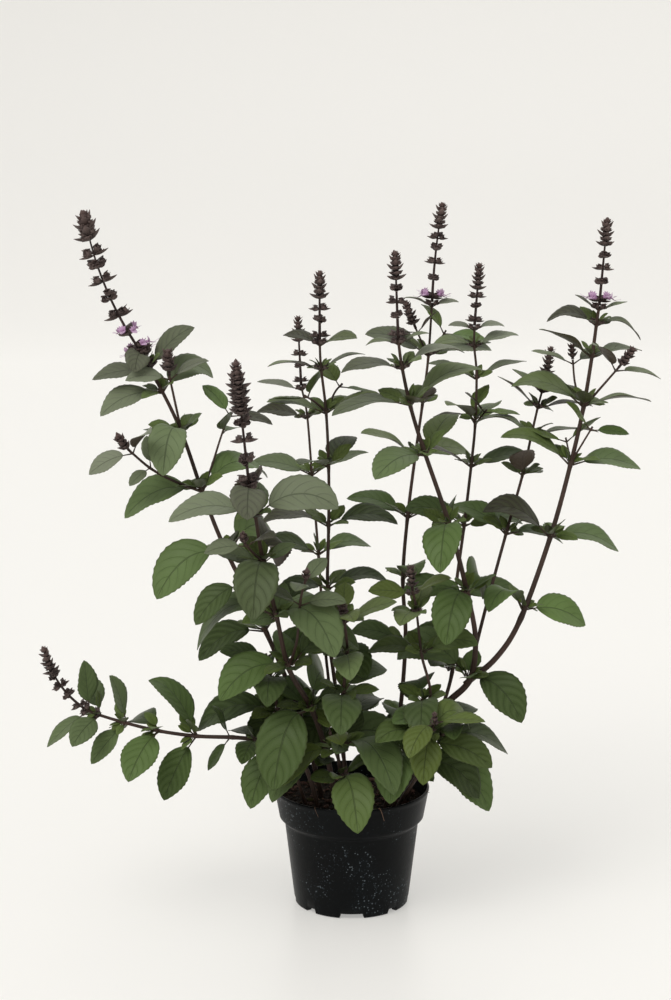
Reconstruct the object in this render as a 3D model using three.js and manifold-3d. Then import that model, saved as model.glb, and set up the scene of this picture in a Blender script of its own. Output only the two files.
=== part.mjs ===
// A flowering purple basil in its plastic nursery pot: pot, soil, leafy stems and flower spikes.
// Millimetres, +Z up. The origin is the centre of the pot's foot, and the viewer stands at -Y.
import * as THREE from "three";
import { mergeVertices } from "three/addons/utils/BufferGeometryUtils.js";
import Module from "manifold-3d";

const wasm = await Module();
wasm.setup();

// Driving dimensions of the pot and its soil.
const POT_TOP_DIAMETER = 130;
const POT_FOOT_DIAMETER = 96;
const POT_HEIGHT = 100;
const POT_WALL = 1.8;
const POT_SIDES = 32;
const RIM_BAND_HEIGHT = 26;
const RIM_STEP = 4.5;
const NECK_STEP = 4.2;
const STEP_BELOW_BAND = 3;
const STEP_IN_BAND = 1;
const LIP_ROUNDING = 0.8;
const FOOT_RING_WIDTH = 5;
const FOOT_ROUNDING = 1;
const FLOOR_UNDERSIDE = 5;
const FOOT_NOTCHES = 8;
const NOTCH_HEIGHT = 4;
const WIDE_NOTCH = 19;
const NARROW_NOTCH = 10;
const DRAIN_HOLES = 4;
const DRAIN_HOLE_DIAMETER = 8;
const DRAIN_HOLE_SIDES = 8;
const DRAIN_CIRCLE_DIAMETER = 60;
const SOIL_LEVEL = 89;
const SOIL_SIDES = 20;
const SOIL_LUMP = 2.2;
const SOIL_MARGIN = 1;
const GAP = 0.35;

// The soil's top from its edge inwards, as [radius share, rise, lumpiness], and its middle's rise.
const SOIL_RINGS = [[1, -2, 0.3], [0.8, 0, 0.7], [0.55, 0, 0.9], [0.28, 1, 0.7]];
const SOIL_MIDDLE = 1.5;

// Driving dimensions of the plant.
const FOOT_DEPTH = 24;
const RIB_THICKNESS = 1.3;
const BLADE_WIDTH_PER_LENGTH = 0.56;
const BLADE_FOLD = 0.14;
const BLADE_SHAPE = [0.86, 0.85];
const PETIOLE_PER_LENGTH = 0.22;
const PETIOLE_HALF_WIDTH = [0.4, 0.009];
const LEAF_RISE = 30;
const BELOW_SPIKE = 3.5;
const DROOP = [0.3, 20, 0.034];
const LEAF_ROOT = 0.5;
const SQUARE_SIDE = 0.85;
const AXIL_LEAF_PER_LENGTH = 0.46;
const AXIL_FROM_LENGTH = 52;
const LARGE_LEAF = 54;
const SMALL_LEAF = 31;
const LIGHT = new THREE.Vector3(0, -0.7, 0.7);
const FACE_LIGHT = 0.55;
const MOST_ROLL = 1;

// The leaves high on the stems right of this x lie flatter and hang less, more so up to fullZ.
const FLAT_LEAVES = { fromX: -60, fromZ: 290, fullZ: 350, faceLight: 0.18, droop: 0.62 };

// How much the leaves vary, and where along a blade its cross-sections stand.
const LEAF_VARIETY = { sag: 0.25, turn: 9, length: 0.09, twist: 0.3 };
const AXIL_VARIETY = { sag: 0.2, turn: 16, length: 0.2, twist: 0.4 };
const AXIL_SAG = 0.3;
const LARGE_SHARES = [0.17, 0.45, 0.8];
const MEDIUM_SHARES = [0.24, 0.68];
const SMALL_SHARES = [0.42];
const AXIL_SHARES = [0.4];

// Driving dimensions of the flower spikes. Whorls stand closer together upwards, under a dense
// head. A ring of the head is [share of its height left above, share of the spike's radius].
const RACHIS_RADIUS = 0.9;
const SPIKE_SIDES = 6;
const SPIKE_FOOT = 0.6;
const FIRST_WHORL = 6;
const WHORL_SPACING = [3, 0.17, 16];
const WHORL_WAIST = 0.45;
const WHORL_BELOW = 2.6;
const WHORL_ABOVE = 2.6;
const BARE_STALK = 2;
const HEAD_HEIGHT = 22;
const HEAD_RINGS = [[1, 0.8], [0.5, 0.9], [0.14, 0.5]];
const HEAD_WAIST = 0.78;
const SHORT_SPIKE = 30;
const SHORT_HEAD = 0.8;

// Each shoot is a curve through its joints. A joint is [x, y, z, leaf length, turn, sag]: the two
// leaves of a joint stand opposite each other, turned about the stem from left-right, and sag says
// how far they bend down. A joint of leaf length 0 is bare. A shoot marked on grows from another's
// joint, in the same leafy stem. spike is the tip of the flower spike that ends the shoot,
// spikeHead is the height of its dense head, and spikeBow is how far the middle of a curved spike
// stands off the line to its tip.
const SHOOTS = [
  {
    stem: "stem_far_left", radius: [2.4, 1.2],
    joints: [
      [-25, 0, SOIL_LEVEL], [-43, -5, 162, 45, 60], [-71, 0, 233, 56, 12], [-105, 10, 302, 68, 24, 2.4],
      [-123, 18, 347, 60, 8, 1.7], [-140, 24, 396, 52, 85, 3.2], [-157, 28, 432, 50, 12],
      [-166, 30, 446, 40, 0, 0.6], [-172, 32, 460, 26, 90, 3],
    ],
    spike: [-218, 40, 575], spikeWidth: 24, spikeBow: [-6.5, 0, -2.6],
  },
  { stem: "stem_far_left", on: true, radius: [1.1, 0.9],
    joints: [[-140, 24, 396], [-146, 20, 428], [-149, 18, 444, 30, 0]],
    spike: [-150, 16, 466], spikeWidth: 18 },
  { stem: "stem_far_left", on: true, radius: [1.2, 0.9],
    joints: [[-123, 18, 347], [-147, 8, 359], [-164, -2, 371, 22, 60], [-180, -10, 387, 32, 0]],
    spike: [-190, -14, 401], spikeWidth: 15 },
  { stem: "stem_far_left", on: true, radius: [1.1, 0.7],
    joints: [[-123, 18, 347], [-116, 30, 366], [-106, 40, 396, 26, 90], [-99, 44, 409, 28, 0]] },
  {
    stem: "stem_front_left", radius: [2.6, 1.3],
    joints: [
      [-13, -28, SOIL_LEVEL], [-21, -38, 141, 56, 20, 2], [-33, -50, 182, 74, 58, 3.6],
      [-51, -66, 221, 58, 8, 1.9], [-60, -82, 268, 66, -22, 2.2], [-70, -94, 315, 64, 80, 3.2],
      [-76, -104, 358, 58, 0, 1.2], [-80, -108, 379, 32, 90, 2.6],
    ],
    spike: [-89, -122, 478], spikeWidth: 20, spikeHead: 42,
  },
  { stem: "stem_front_left", on: true, radius: [1.2, 0.9],
    joints: [[-51, -66, 221], [-44, -84, 249], [-41, -98, 284, 28, 0], [-37, -105, 303, 26, 60, 0.5]],
    spike: [-36, -106, 312], spikeWidth: 12 },
  { stem: "stem_front_left", on: true, radius: [1.1, 0.9],
    joints: [[-70, -94, 315], [-78, -110, 327], [-83, -117, 335, 30, 0]], spike: [-85, -120, 345],
    spikeWidth: 12 },
  { stem: "stem_front_left", on: true, radius: [1.2, 0.9],
    joints: [[-60, -82, 268], [-74, -78, 284], [-88, -76, 296, 46, 12, 1.6]] },
  {
    stem: "stem_back_thin", radius: [1.7, 0.9],
    joints: [
      [-8, 18, SOIL_LEVEL], [-16, 30, 154, 45, 30], [-23, 54, 211, 45, 110], [-28, 84, 277, 42, 20],
      [-34, 108, 347, 42, 5], [-38, 118, 394, 38, 0], [-43, 122, 418, 30, 5],
    ],
    spike: [-46, 128, 479], spikeWidth: 14,
  },
  {
    stem: "stem_middle", radius: [2.0, 1.0],
    joints: [
      [-4, -5, SOIL_LEVEL], [-9, -8, 154, 50, 45], [-17, -14, 217, 50, 120], [-20, -20, 274, 45, 20],
      [-19, -24, 329, 48, 0], [-19, -28, 377, 38, 70], [-21, -32, 423, 40, 0],
      [-25, -34, 459, 34, 10, 0.8], [-26, -35, 480, 30, 160, 0.7],
    ],
    spike: [-26, -38, 537], spikeWidth: 16,
  },
  { stem: "stem_middle", on: true, radius: [0.9, 0.7],
    joints: [[-21, -32, 423], [-29, -42, 432], [-38, -48, 439, 26, 0]] },
  { stem: "stem_middle", on: true, radius: [0.9, 0.7],
    joints: [[-21, -32, 423], [-14, -22, 437], [-8, -16, 443, 28, 0]] },
  {
    stem: "stem_right_front", radius: [3.2, 1.2],
    joints: [
      [44, -15, SOIL_LEVEL], [63, -24, 157, 50, 60, 2], [78, -28, 180, 0], [96, -32, 201, 58, -8, 1.4],
      [100, -38, 236, 0], [93, -44, 275, 52, 68, 2.8], [78, -56, 333, 50, 85, 3],
      [55, -66, 401, 50, 50], [45, -70, 434, 52, 25], [38, -74, 466, 42, 0, 0.9],
      [35, -76, 487, 22, 0, 0.8],
    ],
    spike: [32, -80, 557], spikeWidth: 16,
  },
  {
    stem: "stem_back_tall", radius: [2.3, 1.0],
    joints: [
      [28, 22, SOIL_LEVEL], [40, 30, 146, 45, 80], [46, 52, 211, 42, 10], [44, 72, 259, 40, 100],
      [48, 87, 309, 46, 5], [55, 102, 362, 50, 30], [61, 111, 404, 32, 90], [66, 118, 444, 44, 0],
      [69, 124, 490, 20, 0, 0.8],
    ],
    spike: [78, 134, 575], spikeWidth: 17, spikeBow: [-1.5, 0, 0],
  },
  { stem: "stem_back_tall", on: true, radius: [0.9, 0.8],
    joints: [[66, 118, 444], [55, 113, 469, 22, 0]], spike: [45, 108, 494], spikeWidth: 14 },
  { stem: "stem_back_tall", on: true, radius: [0.9, 0.7],
    joints: [[66, 118, 444], [74, 118, 456], [81, 118, 467, 30, 0]] },
  {
    stem: "stem_right_inner", radius: [1.9, 0.9],
    joints: [
      [39, 5, SOIL_LEVEL], [66, 8, 141, 40, 0], [84, 14, 194, 40, 70], [86, 24, 254, 42, 0],
      [94, 38, 315, 42, 20], [100, 48, 366, 42, 0], [103, 54, 397, 40, 60],
      [104, 60, 438, 36, 10], [102, 63, 461, 32, 0, 0.9], [102, 65, 478, 20, 0, 0.8],
    ],
    spike: [106, 70, 531], spikeWidth: 15,
  },
  { stem: "stem_right_inner", on: true, radius: [0.8, 0.7],
    joints: [[103, 54, 397], [96, 60, 408, 24, 0]] },
  { stem: "stem_right_inner", on: true, radius: [0.8, 0.7],
    joints: [[103, 54, 397], [112, 46, 411, 26, 0]] },
  {
    stem: "stem_right_thin", from: "stem_right_front", radius: [1.6, 0.9],
    joints: [
      [100, -36, 228], [110, -20, 262, 0], [127, 4, 317, 42, 0], [141, 22, 362, 36, 80],
      [148, 32, 391, 44, 0], [154, 40, 415, 36, 10], [158, 44, 429, 24, 0],
    ],
    spike: [165, 50, 464], spikeWidth: 14,
  },
  {
    stem: "stem_right", from: "stem_right_front", radius: [2.6, 1.2],
    joints: [
      [92, -32, 197], [118, -28, 219, 0], [138, -20, 250, 48, 20], [163, -4, 317, 52, 10],
      [179, 8, 374, 50, 10], [189, 16, 418, 52, 5], [196, 22, 462, 40, 20],
      [199, 25, 485, 38, 0, 1.6], [201, 26, 500, 18, 0],
    ],
    spike: [207, 34, 571], spikeWidth: 17,
  },
  { stem: "stem_right", on: true, radius: [1.0, 0.8],
    joints: [[189, 16, 418], [183, 26, 435], [181, 32, 455, 28, 0]],
    spike: [180, 34, 469], spikeWidth: 12 },
  { stem: "stem_right", on: true, radius: [1.0, 0.8],
    joints: [[189, 16, 418], [203, 8, 437], [215, 2, 453, 36, 20, 0.6]],
    spike: [227, -4, 471], spikeWidth: 14 },
  { stem: "stem_right", on: true, radius: [0.8, 0.7], joints: [[179, 8, 374], [175, 16, 393, 28, 0]] },
  { stem: "stem_right", on: true, radius: [0.8, 0.7], joints: [[179, 8, 374], [195, 0, 405, 28, 0]] },
  {
    stem: "stem_low_left", radius: [2.2, 1.0],
    joints: [
      [-28, -30, SOIL_LEVEL], [-38, -38, 128, 0], [-55, -44, 150, 0], [-80, -50, 156, 32, 0],
      [-97, -54, 159, 26, 90, 0.4], [-126, -60, 162, 50, 100, 1.2], [-156, -65, 168, 46, 170],
      [-182, -69, 176, 38, 90, 0.6], [-204, -72, 184, 34, 150], [-214, -73, 189, 38, 90, 0.5],
    ],
    spike: [-245, -78, 243], spikeWidth: 15, spikeBow: [-5, 0, -4],
  },
  {
    stem: "shoot_inner_middle", radius: [1.8, 1.0],
    joints: [
      [2, -38, SOIL_LEVEL], [-10, -50, 160, 62, -38, 2.3], [-8, -62, 196, 50, 50], [-4, -70, 233, 44, 100],
      [-7, -78, 266, 38, 0, 0.6], [-8, -79, 271, 30, 90, 0.4],
    ],
    spike: [-8, -80, 280], spikeWidth: 12,
  },
  {
    stem: "shoot_inner_right", radius: [1.7, 0.9],
    joints: [
      [27, -28, SOIL_LEVEL], [42, -38, 138, 56, 60, 3], [63, -44, 187, 50, 100, 2], [56, -48, 227, 40, 0],
      [51, -54, 268, 32, 70], [48, -56, 282, 28, 0, 0.5],
    ],
    spike: [46, -57, 304], spikeWidth: 13,
  },
  {
    stem: "shoot_low_right", radius: [1.7, 0.9],
    joints: [
      [33, -34, SOIL_LEVEL], [50, -52, 142, 58, 38, 2.4], [60, -70, 158, 46, -10, 1.2],
      [63, -80, 172, 42, 60, 2.6], [65, -90, 184, 34, 10, 0.6],
    ],
    spike: [65, -92, 192], spikeWidth: 8,
  },
  {
    stem: "shoot_low_front", radius: [1.8, 1.1],
    joints: [
      [-6, -44, SOIL_LEVEL], [-8, -54, 128, 62, -62, 3.2], [-14, -58, 150, 50, 20, 2],
      [-18, -62, 166, 34, 110, 0.6],
    ],
  },
  {
    stem: "shoot_low_left", radius: [1.8, 1.1],
    joints: [
      [-38, -22, SOIL_LEVEL], [-52, -34, 138, 56, 50, 2.6], [-60, -40, 176, 58, 0, 2],
      [-66, -42, 206, 44, 100, 1.4], [-70, -42, 226, 34, 0, 0.6],
    ],
  },
  {
    stem: "shoot_low_far_right", radius: [1.9, 1.1],
    joints: [
      [38, -24, SOIL_LEVEL], [64, -43, 138, 56, -42, 2.4], [72, -46, 156, 54, 12, 1.2],
      [80, -50, 172, 36, 80, 0.8],
    ],
  },
];

// What a leaf tries in turn, as [more turn, more sag, length ratio], until it is clear of the rest.
const WAYS_CLEAR = [
  [0, 0], [0, 0.5], [0, -0.4], [14, 0], [-14, 0], [14, 0.6], [-14, 0.6], [0, 1.1], [0, -0.8],
  [28, 0.3], [-28, 0.3], [28, -0.5], [-28, -0.5], [0, 1.8], [40, 0.8], [-40, 0.8],
  [0, 0, 0.75], [20, 0.3, 0.75], [-20, 0.3, 0.75], [0, 0.8, 0.75],
];

const UP = new THREE.Vector3(0, 0, 1);
const radians = THREE.MathUtils.degToRad;
const vector = (p) => new THREE.Vector3(p[0], p[1], p[2]);
const along = (p, d, s) => p.clone().addScaledVector(d, s);

// A repeatable number from -1 to 1 for each pair of keys.
function chance(a, b) {
  const h = Math.sin(a * 12.9898 + b * 78.233) * 43758.5453;
  return 2 * (h - Math.floor(h)) - 1;
}

// A closed surface through rings of equally many points. A ring of one point is a sharp end.
function loft(rings) {
  const points = [];
  const faces = [];
  const starts = rings.map((ring) => points.push(...ring) - ring.length);
  for (let r = 0; r + 1 < rings.length; r++) {
    const [na, nb] = [rings[r].length, rings[r + 1].length];
    const [a, b] = [starts[r], starts[r + 1]];
    const n = Math.max(na, nb);
    for (let i = 0; i < n; i++) {
      const j = (i + 1) % n;
      if (nb > 1) faces.push(a + (i % na), b + j, b + i);
      if (na > 1) faces.push(a + i, a + j, b + (j % nb));
    }
  }
  const fan = (start, n, turned) => {
    for (let i = 1; i + 1 < n; i++) {
      if (turned) faces.push(start, start + i + 1, start + i);
      else faces.push(start, start + i, start + i + 1);
    }
  };
  fan(starts[0], rings[0].length, true);
  fan(starts[rings.length - 1], rings[rings.length - 1].length, false);
  const geometry = new THREE.BufferGeometry().setFromPoints(points);
  return geometry.setIndex(faces);
}

// A geometry as a solid that faces out, whichever way its faces were turned.
function solid(geometry) {
  const bare = geometry.clone();
  bare.deleteAttribute("normal");
  bare.deleteAttribute("uv");
  const merged = mergeVertices(bare, 1e-4);
  const solidOf = (triVerts) => new wasm.Manifold(new wasm.Mesh({
    numProp: 3,
    vertProperties: merged.attributes.position.array,
    triVerts: new Uint32Array(triVerts),
  }));
  const faces = merged.index.array.slice();
  const made = solidOf(faces);
  if (made.volume() >= 0) return made;
  for (let i = 0; i < faces.length; i += 3) [faces[i + 1], faces[i + 2]] = [faces[i + 2], faces[i + 1]];
  return solidOf(faces);
}

function meshOf(name, shape, material) {
  const m = shape.getMesh();
  const geometry = new THREE.BufferGeometry();
  geometry.setAttribute("position", new THREE.BufferAttribute(new Float32Array(m.vertProperties), 3));
  geometry.setIndex(new THREE.BufferAttribute(new Uint32Array(m.triVerts), 1));
  const mesh = new THREE.Mesh(geometry, material);
  mesh.name = name;
  return mesh;
}

// Two directions across a stem that runs along tangent: left-right first, then front-back. On a
// stem that lies along X they are front-back first, then up-down.
function across(tangent, lying) {
  const reference = lying ? new THREE.Vector3(0, 1, 0) : new THREE.Vector3(1, 0, 0);
  const u = along(reference, tangent, -reference.dot(tangent)).normalize();
  return [u, tangent.clone().cross(u)];
}

// A shoot's curve through its joints, with a buried end where it stands in the soil.
function curveOf(shoot) {
  const points = shoot.joints.map(vector);
  const rooted = !shoot.on && !shoot.from;
  if (rooted) points.unshift(along(points[0], UP, -FOOT_DEPTH));
  const end = points[points.length - 1].clone().sub(points[0]).normalize();
  return {
    curve: new THREE.CatmullRomCurve3(points, false, "catmullrom", 0.5),
    segments: points.length - 1,
    first: rooted ? 1 : 0,
    lying: Math.abs(end.x) > 0.8,
  };
}

// The stem itself is square in section, as in all the mint family, and tapers upwards. Its joints
// fall between two rings, so a leaf grows from the middle of a flat side.
function stemSolid(shoot, extra = 0) {
  const { curve, segments, lying } = curveOf(shoot);
  const rings = [];
  for (let i = 0; i <= segments + 1; i++) {
    const t = THREE.MathUtils.clamp((i - 0.5) / segments, 0, 1);
    const tangent = curve.getTangent(t);
    const p = along(curve.getPoint(t), tangent, i ? 0 : -extra);
    const [u, v] = across(tangent, lying);
    const r = SQUARE_SIDE * THREE.MathUtils.lerp(shoot.radius[0], shoot.radius[1], t) + extra;
    rings.push([[r, r], [-r, r], [-r, -r], [r, -r]].map(([a, b]) => along(along(p, u, a), v, b)));
  }
  return solid(loft(rings));
}

// The leaf's rib from its joint: a straight petiole, then a blade that bends down with its weight.
// A small leaf has one share only, and no petiole to speak of.
function leafStations(origin, outward, sag, length, [faceLight, twist], shares) {
  const petiole = length * PETIOLE_PER_LENGTH;
  const slim = PETIOLE_HALF_WIDTH[0] + PETIOLE_HALF_WIDTH[1] * length;
  const side = outward.clone().cross(UP);
  if (side.length() < 0.2) side.set(0, 1, 0);
  side.normalize();
  const directionAt = (s) => along(outward, UP, -sag * s).normalize();
  const middle = directionAt(0.5);
  const face = side.clone().cross(middle);
  const roll = faceLight * Math.atan2(LIGHT.dot(side), LIGHT.dot(face)) + twist;
  const limited = THREE.MathUtils.clamp(roll, -MOST_ROLL, MOST_ROLL);
  const stationAt = (p, d, half) => {
    const sideways = side.clone().applyAxisAngle(d, limited);
    return { p, half, side: sideways, up: sideways.clone().cross(d) };
  };
  const stations = [stationAt(origin, outward, slim)];
  let p = along(origin, outward, petiole);
  if (shares.length > 1) stations.push(stationAt(p, outward, slim));
  let before = 0;
  for (const s of shares) {
    p = along(p, directionAt((s + before) / 2), (s - before) * length);
    const half = 0.5 * BLADE_WIDTH_PER_LENGTH * length * bladeShape(s);
    stations.push(stationAt(p, directionAt(s), half));
    before = s;
  }
  return { stations, tip: along(p, directionAt((1 + before) / 2), (1 - before) * length) };
}

// The blade's half width against its length: ovate, widest before the middle, with a pointed tip.
function bladeShape(s) {
  return Math.pow(Math.sin(Math.PI * Math.pow(s, BLADE_SHAPE[0])), BLADE_SHAPE[1]);
}

function leafSolid(origin, outward, sag, length, roll, shares, extra) {
  const { stations, tip } = leafStations(origin, outward, sag, length, roll, shares);
  const rings = stations.map(({ p, side, up, half }) => {
    const fold = half > stations[0].half ? half * BLADE_FOLD : 0;
    const t = RIB_THICKNESS / 2 + extra;
    const edge = half + extra;
    return [
      along(along(p, side, edge), up, fold), along(p, up, t),
      along(along(p, side, -edge), up, fold), along(p, up, -t),
    ];
  });
  rings.push([tip]);
  return solid(loft(rings));
}

function sharesOf(length) {
  if (length >= LARGE_LEAF) return LARGE_SHARES;
  return length >= SMALL_LEAF ? MEDIUM_SHARES : SMALL_SHARES;
}

// How flat the leaves of a joint lie, from 0 to 1.
function flatnessAt(joint) {
  const { fromX, fromZ, fullZ } = FLAT_LEAVES;
  return joint.x > fromX ? THREE.MathUtils.clamp((joint.z - fromZ) / (fullZ - fromZ), 0, 1) : 0;
}

// The leaves of one shoot, before any is bent clear: two to each joint, and two small ones in the
// axils of a large pair. The skin is how far from the stem's middle a leaf starts. A leaf's roll is
// how much it turns its face to the light, and its own twist.
function leavesOf(shoot, index) {
  const { curve, segments, first, lying } = curveOf(shoot);
  const leaves = [];
  shoot.joints.forEach(([, , , length = 0, turn = 0, sag], j) => {
    if (!length) return;
    const t = (j + first) / segments;
    const before = curve.getPoint(Math.max(t - 0.5 / segments, 0));
    const after = curve.getPoint(Math.min(t + 0.5 / segments, 1));
    const tangent = curve.getTangent(t);
    const origin = t < 1 ? before.lerp(after, 0.5) : along(after, tangent, -BELOW_SPIKE);
    const skin = LEAF_ROOT * THREE.MathUtils.lerp(shoot.radius[0], shoot.radius[1], t);
    const [u, v] = across(tangent, lying);
    const flatness = flatnessAt(origin);
    const faceLight = THREE.MathUtils.lerp(FACE_LIGHT, FLAT_LEAVES.faceLight, flatness);
    const hanging = THREE.MathUtils.lerp(1, FLAT_LEAVES.droop, flatness);
    const droop = sag ?? (DROOP[0] + Math.max(length - DROOP[1], 0) * DROOP[2]) * hanging;
    for (let side = 0; side < 2; side++) {
      const key = index * 40 + j * 4 + side;
      leaves.push({
        origin, skin, tangent, u, v,
        sag: droop * (1 + LEAF_VARIETY.sag * chance(key, 1)),
        turn: turn + 180 * side + LEAF_VARIETY.turn * chance(key, 2),
        length: length * (1 + LEAF_VARIETY.length * chance(key, 3)),
        roll: [faceLight, LEAF_VARIETY.twist * chance(key, 4)],
        shares: sharesOf(length),
      });
    }
    if (length < AXIL_FROM_LENGTH) return;
    for (let side = 0; side < 2; side++) {
      const key = index * 40 + j * 4 + side + 2;
      leaves.push({
        origin, skin, tangent, u, v,
        sag: AXIL_SAG + AXIL_VARIETY.sag * chance(key, 1),
        turn: turn + 90 + 180 * side + AXIL_VARIETY.turn * chance(key, 2),
        length: length * AXIL_LEAF_PER_LENGTH * (1 + AXIL_VARIETY.length * chance(key, 3)),
        roll: [faceLight, AXIL_VARIETY.twist * chance(key, 4)],
        shares: AXIL_SHARES,
      });
    }
  });
  return leaves;
}

// Where a leaf starts, just inside the stem's skin, and the way that it grows from there.
function startOf(leaf, moreTurn) {
  const angle = radians(leaf.turn + moreTurn);
  const rise = radians(LEAF_RISE);
  const flat = leaf.u.clone().multiplyScalar(Math.cos(angle)).addScaledVector(leaf.v, Math.sin(angle));
  const start = along(leaf.origin, flat, leaf.skin);
  const outward = flat.multiplyScalar(Math.cos(rise)).addScaledVector(leaf.tangent, Math.sin(rise));
  return [start, outward.normalize()];
}

// A flower spike: whorls of bracts on a slim stalk, far apart below and crowded into a head above.
function spikeSolid(shoot) {
  const base = vector(shoot.joints[shoot.joints.length - 1]);
  const tip = vector(shoot.spike);
  const bow = vector(shoot.spikeBow ?? [0, 0, 0]);
  const height = base.distanceTo(tip);
  const axis = tip.clone().sub(base).normalize();
  const [u, v] = across(axis, false);
  const ring = (s, big, small, shift) => {
    const share = s / height;
    const centre = along(along(base, axis, s), bow, 4 * share * (1 - share));
    const points = [];
    for (let i = 0; i < SPIKE_SIDES; i++) {
      const a = (i * 2 * Math.PI) / SPIKE_SIDES;
      const r = (i + shift) % 2 ? small : big;
      points.push(along(along(centre, u, r * Math.cos(a)), v, r * Math.sin(a)));
    }
    return points;
  };
  const radius = shoot.spikeWidth / 2;
  const headHeight = height < SHORT_SPIKE ? SHORT_HEAD * height : shoot.spikeHead ?? HEAD_HEIGHT;
  const [least, growth, most] = WHORL_SPACING;
  const rings = [ring(SPIKE_FOOT, RACHIS_RADIUS, RACHIS_RADIUS, 0)];
  let reached = SPIKE_FOOT;
  let s = FIRST_WHORL;
  for (let k = 0; s < height - headHeight - WHORL_ABOVE; k++) {
    const under = s - WHORL_BELOW;
    if (under - reached > BARE_STALK) rings.push(ring(under, RACHIS_RADIUS, RACHIS_RADIUS, 0));
    rings.push(ring(s, radius, radius * WHORL_WAIST, k));
    reached = s + WHORL_ABOVE;
    rings.push(ring(reached, RACHIS_RADIUS, RACHIS_RADIUS, 0));
    s += Math.min(most, least + growth * (height - s));
  }
  HEAD_RINGS.forEach(([left, share], k) => {
    rings.push(ring(height - left * headHeight, share * radius, share * radius * HEAD_WAIST, k));
  });
  rings.push([tip]);
  return solid(loft(rings));
}

// The pot's wall between its foot and the band under its lip.
const BAND_Z = POT_HEIGHT - RIM_BAND_HEIGHT;
const BAND_RADIUS = POT_TOP_DIAMETER / 2 - RIM_STEP;
const NECK_RADIUS = BAND_RADIUS - NECK_STEP;

function potSolid() {
  const foot = POT_FOOT_DIAMETER / 2;
  const top = POT_TOP_DIAMETER / 2;
  const ringInside = foot - FOOT_RING_WIDTH;
  const profile = [
    [0, FLOOR_UNDERSIDE], [ringInside - FOOT_ROUNDING, FLOOR_UNDERSIDE], [ringInside, 0],
    [foot - FOOT_ROUNDING, 0], [foot, FOOT_ROUNDING],
    [NECK_RADIUS, BAND_Z - STEP_BELOW_BAND], [BAND_RADIUS, BAND_Z + STEP_IN_BAND],
    [top, POT_HEIGHT - LIP_ROUNDING], [top - LIP_ROUNDING, POT_HEIGHT],
    [top - POT_WALL, POT_HEIGHT], [BAND_RADIUS - POT_WALL, BAND_Z + STEP_IN_BAND],
    [NECK_RADIUS - POT_WALL, BAND_Z - STEP_BELOW_BAND],
    [foot - POT_WALL, FLOOR_UNDERSIDE + POT_WALL], [0, FLOOR_UNDERSIDE + POT_WALL],
  ].map(([r, z]) => new THREE.Vector2(r, z));
  let pot = solid(new THREE.LatheGeometry(profile, POT_SIDES).rotateX(Math.PI / 2));
  for (let i = 0; i < FOOT_NOTCHES; i++) {
    const width = i % 2 ? NARROW_NOTCH : WIDE_NOTCH;
    const notch = new THREE.BoxGeometry(width, foot / 2, NOTCH_HEIGHT * 2);
    notch.translate(0, -foot, 0).rotateZ((i * 2 * Math.PI) / FOOT_NOTCHES);
    pot = pot.subtract(solid(notch));
  }
  for (let i = 0; i < DRAIN_HOLES; i++) {
    const radius = DRAIN_HOLE_DIAMETER / 2;
    const drain = new THREE.CylinderGeometry(radius, radius, FLOOR_UNDERSIDE * 2, DRAIN_HOLE_SIDES);
    drain.rotateX(Math.PI / 2).translate(0, -DRAIN_CIRCLE_DIAMETER / 2, FLOOR_UNDERSIDE);
    drain.rotateZ(((i + 0.5) * 2 * Math.PI) / DRAIN_HOLES);
    pot = pot.subtract(solid(drain));
  }
  return pot;
}

// The root ball fills the pot, with a crumbly top and a plain hole for each stem that stands in it.
function soilSolid(stems) {
  const inset = POT_WALL + GAP;
  const foot = POT_FOOT_DIAMETER / 2 - inset - SOIL_MARGIN;
  const neck = NECK_RADIUS - inset - SOIL_MARGIN;
  const bandShare = (SOIL_LEVEL - BAND_Z) / RIM_BAND_HEIGHT;
  const top = THREE.MathUtils.lerp(BAND_RADIUS, POT_TOP_DIAMETER / 2, bandShare) - inset - SOIL_MARGIN;
  const bottom = FLOOR_UNDERSIDE + POT_WALL + GAP;
  const ring = (r, z, lump) => {
    const points = [];
    for (let i = 0; i < SOIL_SIDES; i++) {
      const a = (i * 2 * Math.PI) / SOIL_SIDES;
      const rise = lump * SOIL_LUMP * chance(i + 1, r);
      points.push(new THREE.Vector3(r * Math.cos(a), r * Math.sin(a), z + rise));
    }
    return points;
  };
  let soil = solid(loft([
    [new THREE.Vector3(0, 0, bottom)], ring(foot, bottom, 0),
    ring(neck, BAND_Z - STEP_BELOW_BAND, 0),
    ...SOIL_RINGS.map(([share, rise, lump]) => ring(top * share, SOIL_LEVEL + rise, lump)),
    [new THREE.Vector3(0, 0, SOIL_LEVEL + SOIL_MIDDLE)],
  ]));
  for (const stem of stems) soil = soil.subtract(stem);
  return soil;
}

const boxesMeet = (a, b) => [0, 1, 2].every((i) => a.min[i] <= b.max[i] && b.min[i] <= a.max[i]);

// Puts a shoot's leaves on, each bent clear of the other leaves and of all that other nodes hold.
// Leaves of one joint may meet at their stem. A leaf that no bend clears is left out.
function addLeaves(shoot, index, placed) {
  const kept = [];
  for (const leaf of leavesOf(shoot, index)) {
    for (const [moreTurn, moreSag, shorter = 1] of WAYS_CLEAR) {
      const [start, outward] = startOf(leaf, moreTurn);
      const shaped = [start, outward, leaf.sag + moreSag, leaf.length * shorter, leaf.roll, leaf.shares];
      const fat = leafSolid(...shaped, GAP);
      const box = fat.boundingBox();
      const meets = placed.some((other) =>
        other.grows !== shoot.stem && other.joint !== leaf.origin &&
        boxesMeet(box, other.box) && fat.intersect(other.shape).volume() > 0);
      if (meets) continue;
      const blade = leafSolid(...shaped, 0);
      kept.push(blade);
      placed.push({ joint: leaf.origin, shape: blade, box: blade.boundingBox() });
      break;
    }
  }
  return kept;
}

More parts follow.
